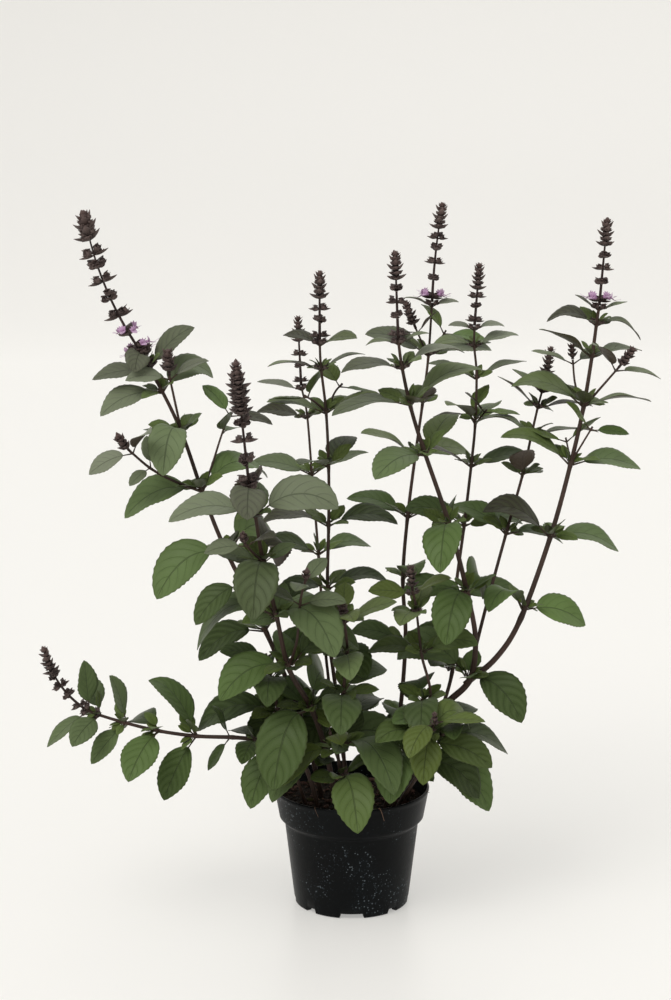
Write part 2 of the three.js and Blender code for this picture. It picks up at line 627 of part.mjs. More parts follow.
const SPIKES = SHOOTS.filter((shoot) => shoot.spike);
const spikeName = (shoot) => {
  const fellows = SPIKES.filter((other) => other.stem === shoot.stem);
  const place = fellows.indexOf(shoot);
  return shoot.stem.replace(/^(stem|shoot)/, "spike") + (place ? "_side_" + place : "");
};

const pieces = new Map();
const placed = [];
const addPiece = (node, shape) => {
  pieces.set(node, [...(pieces.get(node) ?? []), shape]);
  placed.push({ grows: node, shape, box: shape.boundingBox() });
};

for (const shoot of SHOOTS) {
  let stem = stemSolid(shoot);
  if (shoot.from) {
    const trunk = SHOOTS.find((other) => other.stem === shoot.from && !other.on);
    stem = stem.subtract(stemSolid(trunk, GAP)).decompose().sort((a, b) => b.volume() - a.volume())[0];
  }
  addPiece(shoot.stem, stem);
}
for (const shoot of SPIKES) addPiece(spikeName(shoot), spikeSolid(shoot));
const ROOTED = SHOOTS.filter((shoot) => !shoot.on && !shoot.from);
const soil = soilSolid(ROOTED.map((shoot) => stemSolid(shoot, GAP)));
const pot = potSolid();
for (const shape of [soil, pot]) placed.push({ shape, box: shape.boundingBox() });
SHOOTS.forEach((shoot, index) => {
  pieces.get(shoot.stem).push(...addLeaves(shoot, index, placed));
});

const black = new THREE.MeshStandardMaterial({ color: 0x1b1d20, roughness: 0.55, metalness: 0 });
const earth = new THREE.MeshStandardMaterial({ color: 0x2b211c, roughness: 1, metalness: 0 });
const green = new THREE.MeshStandardMaterial({ color: 0x4d6a45, roughness: 0.6, metalness: 0 });
const purple = new THREE.MeshStandardMaterial({ color: 0x3b2830, roughness: 0.7, metalness: 0 });

const basil = new THREE.Group();
basil.name = "potted_purple_basil";
basil.add(meshOf("pot", pot, black), meshOf("soil", soil, earth));
for (const [node, shapes] of pieces) {
  const joined = wasm.Manifold.union(shapes).decompose().sort((a, b) => b.volume() - a.volume())[0];
  basil.add(meshOf(node, joined, node.startsWith("spike") ? purple : green));
}

export default basil;
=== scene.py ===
"""A flowering purple basil in a black nursery pot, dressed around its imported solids.

The plant is laid out by the same curves and joints as the solids, in millimetres, and written to
Blender in metres. The viewer stands at -Y.
"""
from math import atan2, cos, exp, hypot, pi, radians, sin, sqrt
import bpy
import numpy as np
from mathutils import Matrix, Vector, noise
from mathutils.kdtree import KDTree


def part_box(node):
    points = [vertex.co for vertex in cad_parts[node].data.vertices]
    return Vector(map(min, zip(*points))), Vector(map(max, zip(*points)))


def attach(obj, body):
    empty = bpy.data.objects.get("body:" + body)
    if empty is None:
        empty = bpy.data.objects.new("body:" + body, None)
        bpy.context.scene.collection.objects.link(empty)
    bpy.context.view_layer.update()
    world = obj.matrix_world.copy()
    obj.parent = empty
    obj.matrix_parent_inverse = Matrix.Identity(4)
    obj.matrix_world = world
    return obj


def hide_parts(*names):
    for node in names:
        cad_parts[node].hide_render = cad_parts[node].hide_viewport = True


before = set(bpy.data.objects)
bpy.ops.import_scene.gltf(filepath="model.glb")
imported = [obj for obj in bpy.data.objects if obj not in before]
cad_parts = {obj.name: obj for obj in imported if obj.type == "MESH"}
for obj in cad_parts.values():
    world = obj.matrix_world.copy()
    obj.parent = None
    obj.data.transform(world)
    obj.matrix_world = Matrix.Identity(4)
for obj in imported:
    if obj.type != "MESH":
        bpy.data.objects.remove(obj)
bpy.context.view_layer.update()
MM = 0.001

# The photograph's camera, fitted to the pot: its place in metres, its tilt down in degrees, and its
# lens and sensor in millimetres.
CAMERA_PLACE = (-0.0135, -1.9, 0.755)
CAMERA_PITCH = 12.2
CAMERA_LENS = 85.7
SENSOR = 36.0

# The studio's light: the world's, and a wide soft one from above with its spread in degrees.
WORLD_LIGHT = 0.4
CEILING_LIGHT = 1.0
CEILING_SPREAD = 60.0

# The pot and its soil, in millimetres.
POT_TOP_RADIUS = 65.0
POT_FOOT_RADIUS = 48.0
POT_HEIGHT = 100.0
POT_WALL = 1.8
RIM_BAND_HEIGHT = 26.0
RIM_STEP = 4.5
NECK_STEP = 4.2
FLOOR_UNDERSIDE = 5.0
FOOT_NOTCHES = 8
NOTCH_HEIGHT = 4.0
WIDE_NOTCH = 19.0
NARROW_NOTCH = 10.0
SOIL_LEVEL = 89.0
SOIL_FALL_FROM = 48.0
SOIL_FALL = 0.18
SOIL_GAP = 1.4
CRUMBS = 620

# The floor, in metres: its flat part, the radius of its sweep up, and how far it is under the foot.
FLOOR_FLAT = 3.0
FLOOR_SWEEP = 1.2
FLOOR_DROP = 0.0004

# Dry roots over the pot's rim: degrees around the pot, how far each hangs, its radius.
ROOT_HAIRS = ((-117, 7.0, 0.3), (-14, 2.0, 0.3), (-69, 10.0, 0.55))

# The plant's lengths, in millimetres.
FOOT_DEPTH = 24.0
BELOW_SPIKE = 3.5
AXIL_FROM_LENGTH = 52.0
LARGE_LEAF = 54.0
MIDDLE_LEAF = 44.0
SMALL_LEAF = 31.0
RACHIS_RADIUS = 1.15
FIRST_WHORL = 6.0
WHORL_ABOVE = 2.6
HEAD_HEIGHT = 22.0
HEAD_SPACING = 3.4
SHORT_SPIKE = 30.0

# Shares of a leaf's length.
BLADE_WIDTH = 0.59
HEART_WIDTH = 0.85
PETIOLE_PER_LENGTH = 0.22
AXIL_LEAF_PER_LENGTH = 0.46
QUILT = 0.006

# Shares of a blade's half width.
BLADE_FOLD = 0.14
TOOTH = 0.035

# A blade's side veins: how many, how far they arch to its tip, and how they bend on the way.
VEINS = 6
VEIN_ARCH = 0.36
VEIN_BEND = 1.4

# A petiole's half width, and how much more it is for each millimetre of its leaf.
PETIOLE_HALF_WIDTH = (0.4, 0.009)

# A leaf's sag, the length from which it grows, and how much more it is for each millimetre.
DROOP = (0.3, 20.0, 0.034)

# A leaf starts at a share of its stem's radius, and rises by some degrees.
LEAF_ROOT = 0.5
LEAF_RISE = 30.0

# Between two whorls: the least, how much more for each millimetre up to the tip, and the most.
WHORL_SPACING = (3.0, 0.17, 16.0)

# The head's reach as shares of the spike's: at its tip, how much more at its foot, and at most.
HEAD_TAPER = (0.5, 0.9)
HEAD_SHARE = 0.9

# Leaves turn a share of the way to the light. High up and not at the left they lie flatter, which
# means that they turn less and hang less.
UP = np.array((0.0, 0.0, 1.0))
LIGHT = np.array((0.0, -0.7, 0.7))
FACE_LIGHT = 0.55
FLAT_LEAVES = dict(from_x=-60.0, from_z=290.0, full_z=350.0, face_light=0.18, droop=0.62)

# Leaves turn grey-purple between these heights.
PURPLE_HEIGHTS = (220, 400)

# Some leaves above this height are dark grey-brown: those whose chance is over this.
BROWN_LEAVES = dict(from_z=300, over=0.7)

# A leaf's solid is known by its tip, when a corner of the solid is as near to it as this, in metres.
TIP_REACH = 0.00012

# The shoots with bright young leaves, how young those of their last joints are, and the stems whose
# spike stands over heart-shaped bracts.
YOUNG_SHOOTS = ("shoot_low_right", "shoot_inner_middle", "shoot_inner_right", "shoot_low_front")
YOUTH = {0: 1.0, 1: 0.8, 2: 0.3}
HEART_BRACTS = ("stem_far_left", "stem_front_left")

# The low branch at the left is painted darker than the rest of the outside, as painted shade under the
# plant.
LOW_BRANCH = dict(to_x=-75, to_z=210, shade=0.35)

# How many of a spike's lowest whorls are in flower, and the length of a flower.
FLOWERING = {"spike_far_left": 2, "spike_right": 1, "spike_back_tall": 1}
FLOWER = 10.0


def stem(name, radius, *joints, **more):
    return dict(stem=name, radius=radius, joints=joints, **more)


def fork(name, radius, *joints, **more):
    """A side shoot, which starts on its stem."""
    return stem(name, radius, *joints, on=True, **more)


# The shoots, as in the solids: a joint is (x, y, z, leaf length, turn, sag), with no leaf where the
# length is 0. Each shoot has its node, its radius at the foot and at the tip, its joints, and the tip,
# width, bow and dense head of its flower spike. One that is off the soil branches from another stem.
SHOOTS = [
    stem("stem_far_left", (2.4, 1.2), (-25, 0, SOIL_LEVEL), (-43, -5, 162, 45, 60), (-71, 0, 233, 56, 12),
         (-105, 10, 302, 68, 24, 2.4), (-123, 18, 347, 60, 8, 1.7), (-140, 24, 396, 52, 85, 3.2),
         (-157, 28, 432, 50, 12), (-166, 30, 446, 40, 0, 0.6), (-172, 32, 460, 26, 90, 3),
         spike=(-218, 40, 575), width=24, bow=(-6.5, 0, -2.6)),
    fork("stem_far_left", (1.1, 0.9), (-140, 24, 396), (-146, 20, 428), (-149, 18, 444, 30, 0),
         spike=(-150, 16, 466), width=18),
    fork("stem_far_left", (1.2, 0.9), (-123, 18, 347), (-147, 8, 359), (-164, -2, 371, 22, 60),
         (-180, -10, 387, 32, 0), spike=(-190, -14, 401), width=15),
    fork("stem_far_left", (1.1, 0.7), (-123, 18, 347), (-116, 30, 366), (-106, 40, 396, 26, 90),
         (-99, 44, 409, 28, 0)),
    stem("stem_front_left", (2.6, 1.3), (-13, -28, SOIL_LEVEL), (-21, -38, 141, 56, 20, 2),
         (-33, -50, 182, 74, 58, 3.6), (-51, -66, 221, 58, 8, 1.9), (-60, -82, 268, 66, -22, 2.2),
         (-70, -94, 315, 64, 80, 3.2), (-76, -104, 358, 58, 0, 1.2), (-80, -108, 379, 32, 90, 2.6),
         spike=(-89, -122, 478), width=20, head=42),
    fork("stem_front_left", (1.2, 0.9), (-51, -66, 221), (-44, -84, 249), (-41, -98, 284, 28, 0),
         (-37, -105, 303, 26, 60, 0.5), spike=(-36, -106, 312), width=12),
    fork("stem_front_left", (1.1, 0.9), (-70, -94, 315), (-78, -110, 327), (-83, -117, 335, 30, 0),
         spike=(-85, -120, 345), width=12),
    fork("stem_front_left", (1.2, 0.9), (-60, -82, 268), (-74, -78, 284), (-88, -76, 296, 46, 12, 1.6)),
    stem("stem_back_thin", (1.7, 0.9), (-8, 18, SOIL_LEVEL), (-16, 30, 154, 45, 30),
         (-23, 54, 211, 45, 110), (-28, 84, 277, 42, 20), (-34, 108, 347, 42, 5), (-38, 118, 394, 38, 0),
         (-43, 122, 418, 30, 5), spike=(-46, 128, 479), width=14),
    stem("stem_middle", (2.0, 1.0), (-4, -5, SOIL_LEVEL), (-9, -8, 154, 50, 45), (-17, -14, 217, 50, 120),
         (-20, -20, 274, 45, 20), (-19, -24, 329, 48, 0), (-19, -28, 377, 38, 70), (-21, -32, 423, 40, 0),
         (-25, -34, 459, 34, 10, 0.8), (-26, -35, 480, 30, 160, 0.7), spike=(-26, -38, 537),
         width=16),
    fork("stem_middle", (0.9, 0.7), (-21, -32, 423), (-29, -42, 432), (-38, -48, 439, 26, 0)),
    fork("stem_middle", (0.9, 0.7), (-21, -32, 423), (-14, -22, 437), (-8, -16, 443, 28, 0)),
    stem("stem_right_front", (3.2, 1.2), (44, -15, SOIL_LEVEL), (63, -24, 157, 50, 60, 2),
         (78, -28, 180, 0), (96, -32, 201, 58, -8, 1.4), (100, -38, 236, 0), (93, -44, 275, 52, 68, 2.8),
         (78, -56, 333, 50, 85, 3), (55, -66, 401, 50, 50), (45, -70, 434, 52, 25),
         (38, -74, 466, 42, 0, 0.9), (35, -76, 487, 22, 0, 0.8), spike=(32, -80, 557), width=16),
    stem("stem_back_tall", (2.3, 1.0), (28, 22, SOIL_LEVEL), (40, 30, 146, 45, 80), (46, 52, 211, 42, 10),
         (44, 72, 259, 40, 100), (48, 87, 309, 46, 5), (55, 102, 362, 50, 30), (61, 111, 404, 32, 90),
         (66, 118, 444, 44, 0), (69, 124, 490, 20, 0, 0.8), spike=(78, 134, 575), width=17,
         bow=(-1.5, 0, 0)),
    fork("stem_back_tall", (0.9, 0.8), (66, 118, 444), (55, 113, 469, 22, 0), spike=(45, 108, 494),
         width=14),
    fork("stem_back_tall", (0.9, 0.7), (66, 118, 444), (74, 118, 456), (81, 118, 467, 30, 0)),
    stem("stem_right_inner", (1.9, 0.9), (39, 5, SOIL_LEVEL), (66, 8, 141, 40, 0), (84, 14, 194, 40, 70),
         (86, 24, 254, 42, 0), (94, 38, 315, 42, 20), (100, 48, 366, 42, 0), (103, 54, 397, 40, 60),
         (104, 60, 438, 36, 10), (102, 63, 461, 32, 0, 0.9), (102, 65, 478, 20, 0, 0.8),
         spike=(106, 70, 531), width=15),
    fork("stem_right_inner", (0.8, 0.7), (103, 54, 397), (96, 60, 408, 24, 0)),
    fork("stem_right_inner", (0.8, 0.7), (103, 54, 397), (112, 46, 411, 26, 0)),
    stem("stem_right_thin", (1.6, 0.9), (100, -36, 228), (110, -20, 262, 0), (127, 4, 317, 42, 0),
         (141, 22, 362, 36, 80), (148, 32, 391, 44, 0), (154, 40, 415, 36, 10), (158, 44, 429, 24, 0),
         off=True, spike=(165, 50, 464), width=14),
    stem("stem_right", (2.6, 1.2), (92, -32, 197), (118, -28, 219, 0), (138, -20, 250, 48, 20),
         (163, -4, 317, 52, 10), (179, 8, 374, 50, 10), (189, 16, 418, 52, 5), (196, 22, 462, 40, 20),
         (199, 25, 485, 38, 0, 1.6), (201, 26, 500, 18, 0), off=True, spike=(207, 34, 571),
         width=17),
    fork("stem_right", (1.0, 0.8), (189, 16, 418), (183, 26, 435), (181, 32, 455, 28, 0),
         spike=(180, 34, 469), width=12),
    fork("stem_right", (1.0, 0.8), (189, 16, 418), (203, 8, 437), (215, 2, 453, 36, 20, 0.6),
         spike=(227, -4, 471), width=14),
    fork("stem_right", (0.8, 0.7), (179, 8, 374), (175, 16, 393, 28, 0)),
    fork("stem_right", (0.8, 0.7), (179, 8, 374), (195, 0, 405, 28, 0)),
    stem("stem_low_left", (2.2, 1.0), (-28, -30, SOIL_LEVEL), (-38, -38, 128, 0), (-55, -44, 150, 0),
         (-80, -50, 156, 32, 0), (-97, -54, 159, 26, 90, 0.4), (-126, -60, 162, 50, 100, 1.2),
         (-156, -65, 168, 46, 170), (-182, -69, 176, 38, 90, 0.6), (-204, -72, 184, 34, 150),
         (-214, -73, 189, 38, 90, 0.5), spike=(-245, -78, 243), width=15, bow=(-5, 0, -4)),
    stem("shoot_inner_middle", (1.8, 1.0), (2, -38, SOIL_LEVEL), (-10, -50, 160, 62, -38, 2.3),
         (-8, -62, 196, 50, 50), (-4, -70, 233, 44, 100), (-7, -78, 266, 38, 0, 0.6),
         (-8, -79, 271, 30, 90, 0.4), spike=(-8, -80, 280), width=12),
    stem("shoot_inner_right", (1.7, 0.9), (27, -28, SOIL_LEVEL), (42, -38, 138, 56, 60, 3),
         (63, -44, 187, 50, 100, 2), (56, -48, 227, 40, 0), (51, -54, 268, 32, 70),
         (48, -56, 282, 28, 0, 0.5), spike=(46, -57, 304), width=13),
    stem("shoot_low_right", (1.7, 0.9), (33, -34, SOIL_LEVEL), (50, -52, 142, 58, 38, 2.4),
         (60, -70, 158, 46, -10, 1.2), (63, -80, 172, 42, 60, 2.6), (65, -90, 184, 34, 10, 0.6),
         spike=(65, -92, 192), width=8),
    stem("shoot_low_front", (1.8, 1.1), (-6, -44, SOIL_LEVEL), (-8, -54, 128, 62, -62, 3.2),
         (-14, -58, 150, 50, 20, 2), (-18, -62, 166, 34, 110, 0.6)),
    stem("shoot_low_left", (1.8, 1.1), (-38, -22, SOIL_LEVEL), (-52, -34, 138, 56, 50, 2.6),
         (-60, -40, 176, 58, 0, 2), (-66, -42, 206, 44, 100, 1.4), (-70, -42, 226, 34, 0, 0.6)),
    stem("shoot_low_far_right", (1.9, 1.1), (38, -24, SOIL_LEVEL), (64, -43, 138, 56, -42, 2.4),
         (72, -46, 156, 54, 12, 1.2), (80, -50, 172, 36, 80, 0.8)),
]

# The ways that a leaf may have been bent clear, as (more turn, more sag, length ratio).
WAYS_CLEAR = [
    (0, 0, 1), (0, 0.5, 1), (0, -0.4, 1), (14, 0, 1), (-14, 0, 1), (14, 0.6, 1), (-14, 0.6, 1),
    (0, 1.1, 1), (0, -0.8, 1), (28, 0.3, 1), (-28, 0.3, 1), (28, -0.5, 1), (-28, -0.5, 1),
    (0, 1.8, 1), (40, 0.8, 1), (-40, 0.8, 1), (0, 0, 0.75), (20, 0.3, 0.75), (-20, 0.3, 0.75),
    (0, 0.8, 0.75),
]


def chance(a, b):
    """A repeatable number from -1 to 1 for each pair of keys."""
    h = sin(a * 12.9898 + b * 78.233) * 43758.5453
    return 2 * (h % 1) - 1


def unit(v):
    return v / np.linalg.norm(v)


def clamp(value, low=0.0, high=1.0):
    return min(max(value, low), high)


def between(value, low, high):
    """How far a value is on its way from low to high, from 0 to 1."""
    return clamp((value - low) / (high - low))


def turned(v, axis, angle):
    """v turned about a unit axis."""
    c, s = cos(angle), sin(angle)
    return v * c + np.cross(axis, v) * s + axis * (axis @ v) * (1 - c)


class Curve:
    """A uniform Catmull-Rom curve, with its parameter from 0 to 1."""

    def __init__(self, points):
        self.points = [np.array(p[:3], float) for p in points]

    def at(self, t):
        pts = self.points
        last = len(pts) - 1
        place = last * t
        i = min(int(place), last - 1)
        w = place - i
        p0 = pts[i - 1] if i > 0 else 2 * pts[0] - pts[1]
        p1, p2 = pts[i], pts[i + 1]
        p3 = pts[i + 2] if i + 2 <= last else 2 * pts[last] - pts[last - 1]
        t0, t1 = 0.5 * (p2 - p0), 0.5 * (p3 - p1)
        c2 = -3 * p1 + 3 * p2 - 2 * t0 - t1
        c3 = 2 * p1 - 2 * p2 + t0 + t1
        return p1 + t0 * w + c2 * w * w + c3 * w * w * w

    def tangent(self, t):
        a, b = max(t - 0.0001, 0), min(t + 0.0001, 1)
        return unit(self.at(b) - self.at(a))


def across(tangent, lying):
    """Two directions across a stem: left-right first, then front-back."""
    reference = np.array((0.0, 1.0, 0.0)) if lying else np.array((1.0, 0.0, 0.0))
    u = unit(reference - tangent * (reference @ tangent))
    return u, np.cross(tangent, u)


def curve_of(shoot):
    """A shoot's curve, its number of segments, its joints' first place, and whether it lies."""
    points = [p[:3] for p in shoot["joints"]]
    rooted = not shoot.get("on") and not shoot.get("off")
    if rooted:
        x, y, z = points[0]
        points = [(x, y, z - FOOT_DEPTH)] + points
    end = unit(np.array(points[-1], float) - np.array(points[0], float))
    return Curve(points), len(points) - 1, 1 if rooted else 0, abs(end[0]) > 0.8


def radius_at(shoot, t):
    return shoot["radius"][0] + (shoot["radius"][1] - shoot["radius"][0]) * t


def fine_blade_shape(s):
    """The blade's half width against its length, ovate with a pointed tip."""
    return sin(pi * s ** 0.88) ** 0.74 if 0 < s < 1 else 0.0


def flatness_at(joint):
    """How flat the leaves of a joint lie, from 0 to 1."""
    if joint[0] <= FLAT_LEAVES["from_x"]:
        return 0.0
    return between(joint[2], FLAT_LEAVES["from_z"], FLAT_LEAVES["full_z"])


def leaves_of(shoot, index):
    """The leaves that the solids have, before any is bent clear."""
    curve, segments, first, lying = curve_of(shoot)
    leaves = []
    joints = shoot["joints"]
    for j, joint in enumerate(joints):
        length = joint[3] if len(joint) > 3 else 0
        if not length:
            continue
        turn = joint[4]
        t = (j + first) / segments
        before = curve.at(max(t - 0.5 / segments, 0))
        after = curve.at(min(t + 0.5 / segments, 1))
        tangent = curve.tangent(t)
        origin = (before + after) / 2 if t < 1 else after - tangent * BELOW_SPIKE
        u, v = across(tangent, lying)
        flatness = flatness_at(origin)
        hanging = 1 + (FLAT_LEAVES["droop"] - 1) * flatness
        droop = (DROOP[0] + max(length - DROOP[1], 0) * DROOP[2]) * hanging
        if len(joint) > 5:
            droop = joint[5]
        common = dict(origin=origin, tangent=tangent, u=u, v=v, skin=LEAF_ROOT * radius_at(shoot, t),
                      last=len(joints) - 1 - j,
                      face=FACE_LIGHT + (FLAT_LEAVES["face_light"] - FACE_LIGHT) * flatness)
        # The joint's pair of leaves, and then the two small leaves in the axils of a large pair.
        for side in range(2):
            key = index * 40 + j * 4 + side
            shares = (0.17, 0.45, 0.8) if length >= LARGE_LEAF else (0.24, 0.68)
            leaves.append(dict(
                common, key=key, sag=droop * (1 + 0.25 * chance(key, 1)),
                turn=turn + 180 * side + 9 * chance(key, 2),
                length=length * (1 + 0.09 * chance(key, 3)),
                roll=(common["face"], 0.3 * chance(key, 4)),
                shares=shares if length >= SMALL_LEAF else (0.42,)))
        if length < AXIL_FROM_LENGTH:
            continue
        for side in range(2):
            key = index * 40 + j * 4 + side + 2
            leaves.append(dict(
                common, key=key, sag=0.3 + 0.2 * chance(key, 1),
                turn=turn + 90 + 180 * side + 16 * chance(key, 2),
                length=length * AXIL_LEAF_PER_LENGTH * (1 + 0.2 * chance(key, 3)),
                roll=(common["face"], 0.4 * chance(key, 4)), shares=(0.4,)))
    return leaves


def around_joint(leaf, degrees):
    """The way out from a leaf's stem at this many degrees from the leaf's own turn."""
    angle = radians(leaf["turn"] + degrees)
    return leaf["u"] * cos(angle) + leaf["v"] * sin(angle)


def risen(leaf, flat, degrees):
    """A way out from a leaf's stem, risen by this many degrees."""
    rise = radians(degrees)
    return unit(flat * cos(rise) + leaf["tangent"] * sin(rise))


def start_of(leaf, more_turn):
    """Where a leaf starts, inside the stem's skin, and the way that it grows from there."""
    flat = around_joint(leaf, more_turn)
    return leaf["origin"] + flat * leaf["skin"], risen(leaf, flat, LEAF_RISE)


def leaf_pose(outward, sag, roll):
    """A blade's sideways direction and its angle. roll is how much it faces the light, and its twist."""
    side = np.cross(outward, UP)
    if np.linalg.norm(side) < 0.2:
        side = np.array((0.0, 1.0, 0.0))
    side = unit(side)
    middle = unit(outward - UP * sag * 0.5)
    face = np.cross(side, middle)
    angle = roll[0] * atan2(LIGHT @ side, LIGHT @ face) + roll[1]
    return side, clamp(angle, -1.0)


def solid_tip(leaf, way):
    """The tip of the leaf's solid, if it was bent this way."""
    more_turn, more_sag, ratio = way
    start, outward = start_of(leaf, more_turn)
    sag, length = leaf["sag"] + more_sag, leaf["length"] * ratio
    p = start + outward * length * PETIOLE_PER_LENGTH
    before = 0
    for s in leaf["shares"] + (1,):
        p = p + unit(outward - UP * sag * (s + before) / 2) * (s - before) * length
        before = s
    return p


def put_in_scene(name, data):
    made = bpy.data.objects.new(name, data)
    bpy.context.scene.collection.objects.link(made)
    return made


class Mesh:
    """Collects vertices, faces, materials and two attributes for one object."""

    def __init__(self):
        self.points, self.faces, self.slots, self.blade, self.tint = [], [], [], [], []

    def add(self, points, faces, slot, blade=None, tint=(0.5, 0.0, 0.0)):
        base = len(self.points)
        n = len(points)
        self.points.extend(tuple(float(c) for c in p) for p in points)
        self.faces.extend(tuple(base + i for i in f) for f in faces)
        self.slots.extend([slot] * len(faces))
        self.blade.extend(blade if blade is not None else [(0.0, 0.0, 0.0)] * n)
        self.tint.extend([tint] * n)

    def object(self, name, materials, smooth=True):
        mesh = bpy.data.meshes.new(name)
        mesh.from_pydata([(x * MM, y * MM, z * MM) for x, y, z in self.points], [], self.faces)
        for material in materials:
            mesh.materials.append(material)
        mesh.polygons.foreach_set("material_index", self.slots)
        mesh.polygons.foreach_set("use_smooth", [smooth] * len(self.faces))
        for title, values in (("blade", self.blade), ("tint", self.tint)):
            layer = mesh.attributes.new(title, "FLOAT_VECTOR", "POINT")
            layer.data.foreach_set("vector", [c for value in values for c in value])
        mesh.validate()
        mesh.update()
        return put_in_scene(name, mesh)


def fan(sides):
    """The faces that join point 0 to the ring of points after it."""
    return [(0, 1 + i, 1 + (i + 1) % sides) for i in range(sides)]


def ring(radius, z, sides):
    """The points of a level ring."""
    angles = [2 * pi * i / sides for i in range(sides)]
    return [(radius * cos(a), radius * sin(a), z) for a in angles]


def bands(rings, sides, first=0, inward=False):
    """The faces that join rings of points, from point number first on."""
    faces = []
    for a in range(first, first + (rings - 1) * sides, sides):
        for i in range(sides):
            j, b = (i + 1) % sides, a + sides
            faces.append((a + i, b + i, b + j, a + j) if inward else (a + i, a + j, b + j, b + i))
    return faces


def tube(mesh, places, frames, radii, slot, sides=8, square=0.0, tint=(0.5, 0.0, 0.0), blade=None):
    """A closed tube through places. square from 0 to 1 turns its round section squarer."""
    points = []
    for p, (u, v), r in zip(places, frames, radii):
        for i in range(sides):
            a = 2 * pi * i / sides
            corner = 1 + square * 0.16 * -cos(4 * a)
            points.append(p + u * (r * corner * cos(a)) + v * (r * corner * sin(a)))
    top = (len(places) - 1) * sides
    faces = bands(len(places), sides) + [tuple(range(sides - 1, -1, -1)), tuple(range(top, top + sides))]
    rows = None
    if blade is not None:
        rows = [blade[k] for k in range(len(places)) for _ in range(sides)]
    mesh.add(points, faces, slot, rows, tint)


def sheet(rows, wide):
    """The faces of a thin closed sheet: rows of points on its upper side, then on its lower one."""
    layer = (rows + 1) * wide
    faces = []
    for r in range(rows):
        for a in range(r * wide, r * wide + wide - 1):
            b, d, e = a + 1, a + wide, a + wide + 1
            faces.append((a, b, e, d))
            faces.append((layer + a, layer + d, layer + e, layer + b))
        a, b = r * wide, (r + 1) * wide
        faces.append((a, b, layer + b, layer + a))
        a, b = a + wide - 1, b + wide - 1
        faces.append((layer + a, layer + b, b, a))
    for a in range(wide - 1):
        end = rows * wide + a
        faces.append((layer + a, layer + a + 1, a + 1, a))
        faces.append((end, end + 1, layer + end + 1, layer + end))
    return faces


# The materials of the leafy shoots, by their place in an object's list.
STEM, LEAF, CUP = 0, 1, 2


def vein_lift(s, a):
    """How high the blade stands between its sunken side veins, from 0 on a vein to 1."""
    return 0.5 - 0.5 * cos(2 * pi * VEINS * (s - VEIN_ARCH * a ** VEIN_BEND))


def blade_grid(start, outward, sag, length, roll, key, rows, columns, width):
    """Rows of points across a blade, with its upward direction and their place as (s, w)."""
    side, angle = leaf_pose(outward, sag, roll)
    cup = 0.12 + 0.10 * chance(key, 9)
    wave = 0.04 + 0.05 * abs(chance(key, 7))
    phase = 3 * chance(key, 8)
    centre = start + outward * length * PETIOLE_PER_LENGTH
    grid = []
    before = 0.0
    for r in range(rows + 1):
        s = (r / rows) ** 1.08
        centre = centre + unit(outward - UP * sag * (s + before) / 2) * (s - before) * length
        before = s
        direction = unit(outward - UP * sag * s)
        lateral = turned(side, direction, angle)
        up = np.cross(lateral, direction)
        half = 0.5 * width * length * fine_blade_shape(s)
        tooth = TOOTH * (1 if r % 2 else -0.4) if 0.25 < s < 0.97 else 0.0
        line = []
        for c in range(-columns, columns + 1):
            w = c / columns
            a = abs(w)
            lift = BLADE_FOLD * a * half - cup * half * (a - a * a)
            lift += QUILT * length * vein_lift(s, a) * 4 * a * (1 - a) * (1 - 0.7 * s)
            lift += wave * half * a * a * sin(s * 8 + phase + (1.7 if w > 0 else 0))
            forward = TOOTH * half * (0.8 if a == 1 and r % 2 and s < 0.97 else 0.0)
            wide = w * half * (1 + (tooth if a == 1 else 0))
            line.append((centre + lateral * wide + up * lift + direction * forward, (s, w)))
        grid.append((line, up))
    return grid


def add_blade(mesh, start, outward, sag, length, roll, tint, key, rows, columns, width=BLADE_WIDTH):
    """A leaf: its petiole, and a thin closed blade with sunken veins and a toothed edge."""
    side, angle = leaf_pose(outward, sag, roll)
    petiole = length * PETIOLE_PER_LENGTH
    slim = (PETIOLE_HALF_WIDTH[0] + PETIOLE_HALF_WIDTH[1] * length) * 0.85
    first_side = turned(side, outward, angle)
    first_up = np.cross(first_side, outward)
    places = [start, start + outward * petiole * 0.5, start + outward * petiole * 1.06]
    tube(mesh, places, [(first_side, first_up)] * 3, [slim * 1.25, slim, slim * 0.8], STEM, 6,
         tint=(0.5, 0.0, 0.3))
    grid = blade_grid(start, outward, sag, length, roll, key, rows, columns, width)
    points, blade = [], []
    for under in (0, 1):
        for line, up in grid:
            for p, (s, w) in line:
                rib = exp(-(w * 8) ** 2) * (1 - s)
                thick = 0.05 + 0.14 * (1 - w ** 8)
                off = -thick - 0.55 * rib if under else thick - 0.2 * rib
                points.append(p + up * off)
                blade.append((s, w, float(under)))
    mesh.add(points, sheet(rows, 2 * columns + 1), LEAF, blade, tint)


def add_stem(mesh, shoot):
    """A rounded square stem that thickens a little at its joints."""
    curve, segments, first, lying = curve_of(shoot)
    steps = segments * 8
    joints = [(j + first) / segments for j, p in enumerate(shoot["joints"]) if len(p) > 3 and p[3]]
    places, frames, radii = [], [], []
    for i in range(steps + 1):
        t = i / steps
        p = curve.at(t)
        swell = sum(exp(-(np.linalg.norm(p - curve.at(k)) / 2.4) ** 2) for k in joints)
        places.append(p)
        frames.append(across(curve.tangent(t), lying))
        radii.append(radius_at(shoot, t) * (0.98 + 0.2 * min(swell, 1)))
    tube(mesh, places, frames, radii, STEM, 12, 1.0)


def find_way(leaf, tree):
    """The way that the solids bent this leaf, from the tips that they have, or None."""
    for way in WAYS_CLEAR:
        tip = solid_tip(leaf, way) * MM
        _, _, distance = tree.find(Vector(tip))
        if distance < TIP_REACH:
            return way
    return None


def tip_tree(node):
    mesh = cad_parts[node].data
    tree = KDTree(len(mesh.vertices))
    for i, vertex in enumerate(mesh.vertices):
        tree.insert(vertex.co, i)
    tree.balance()
    return tree


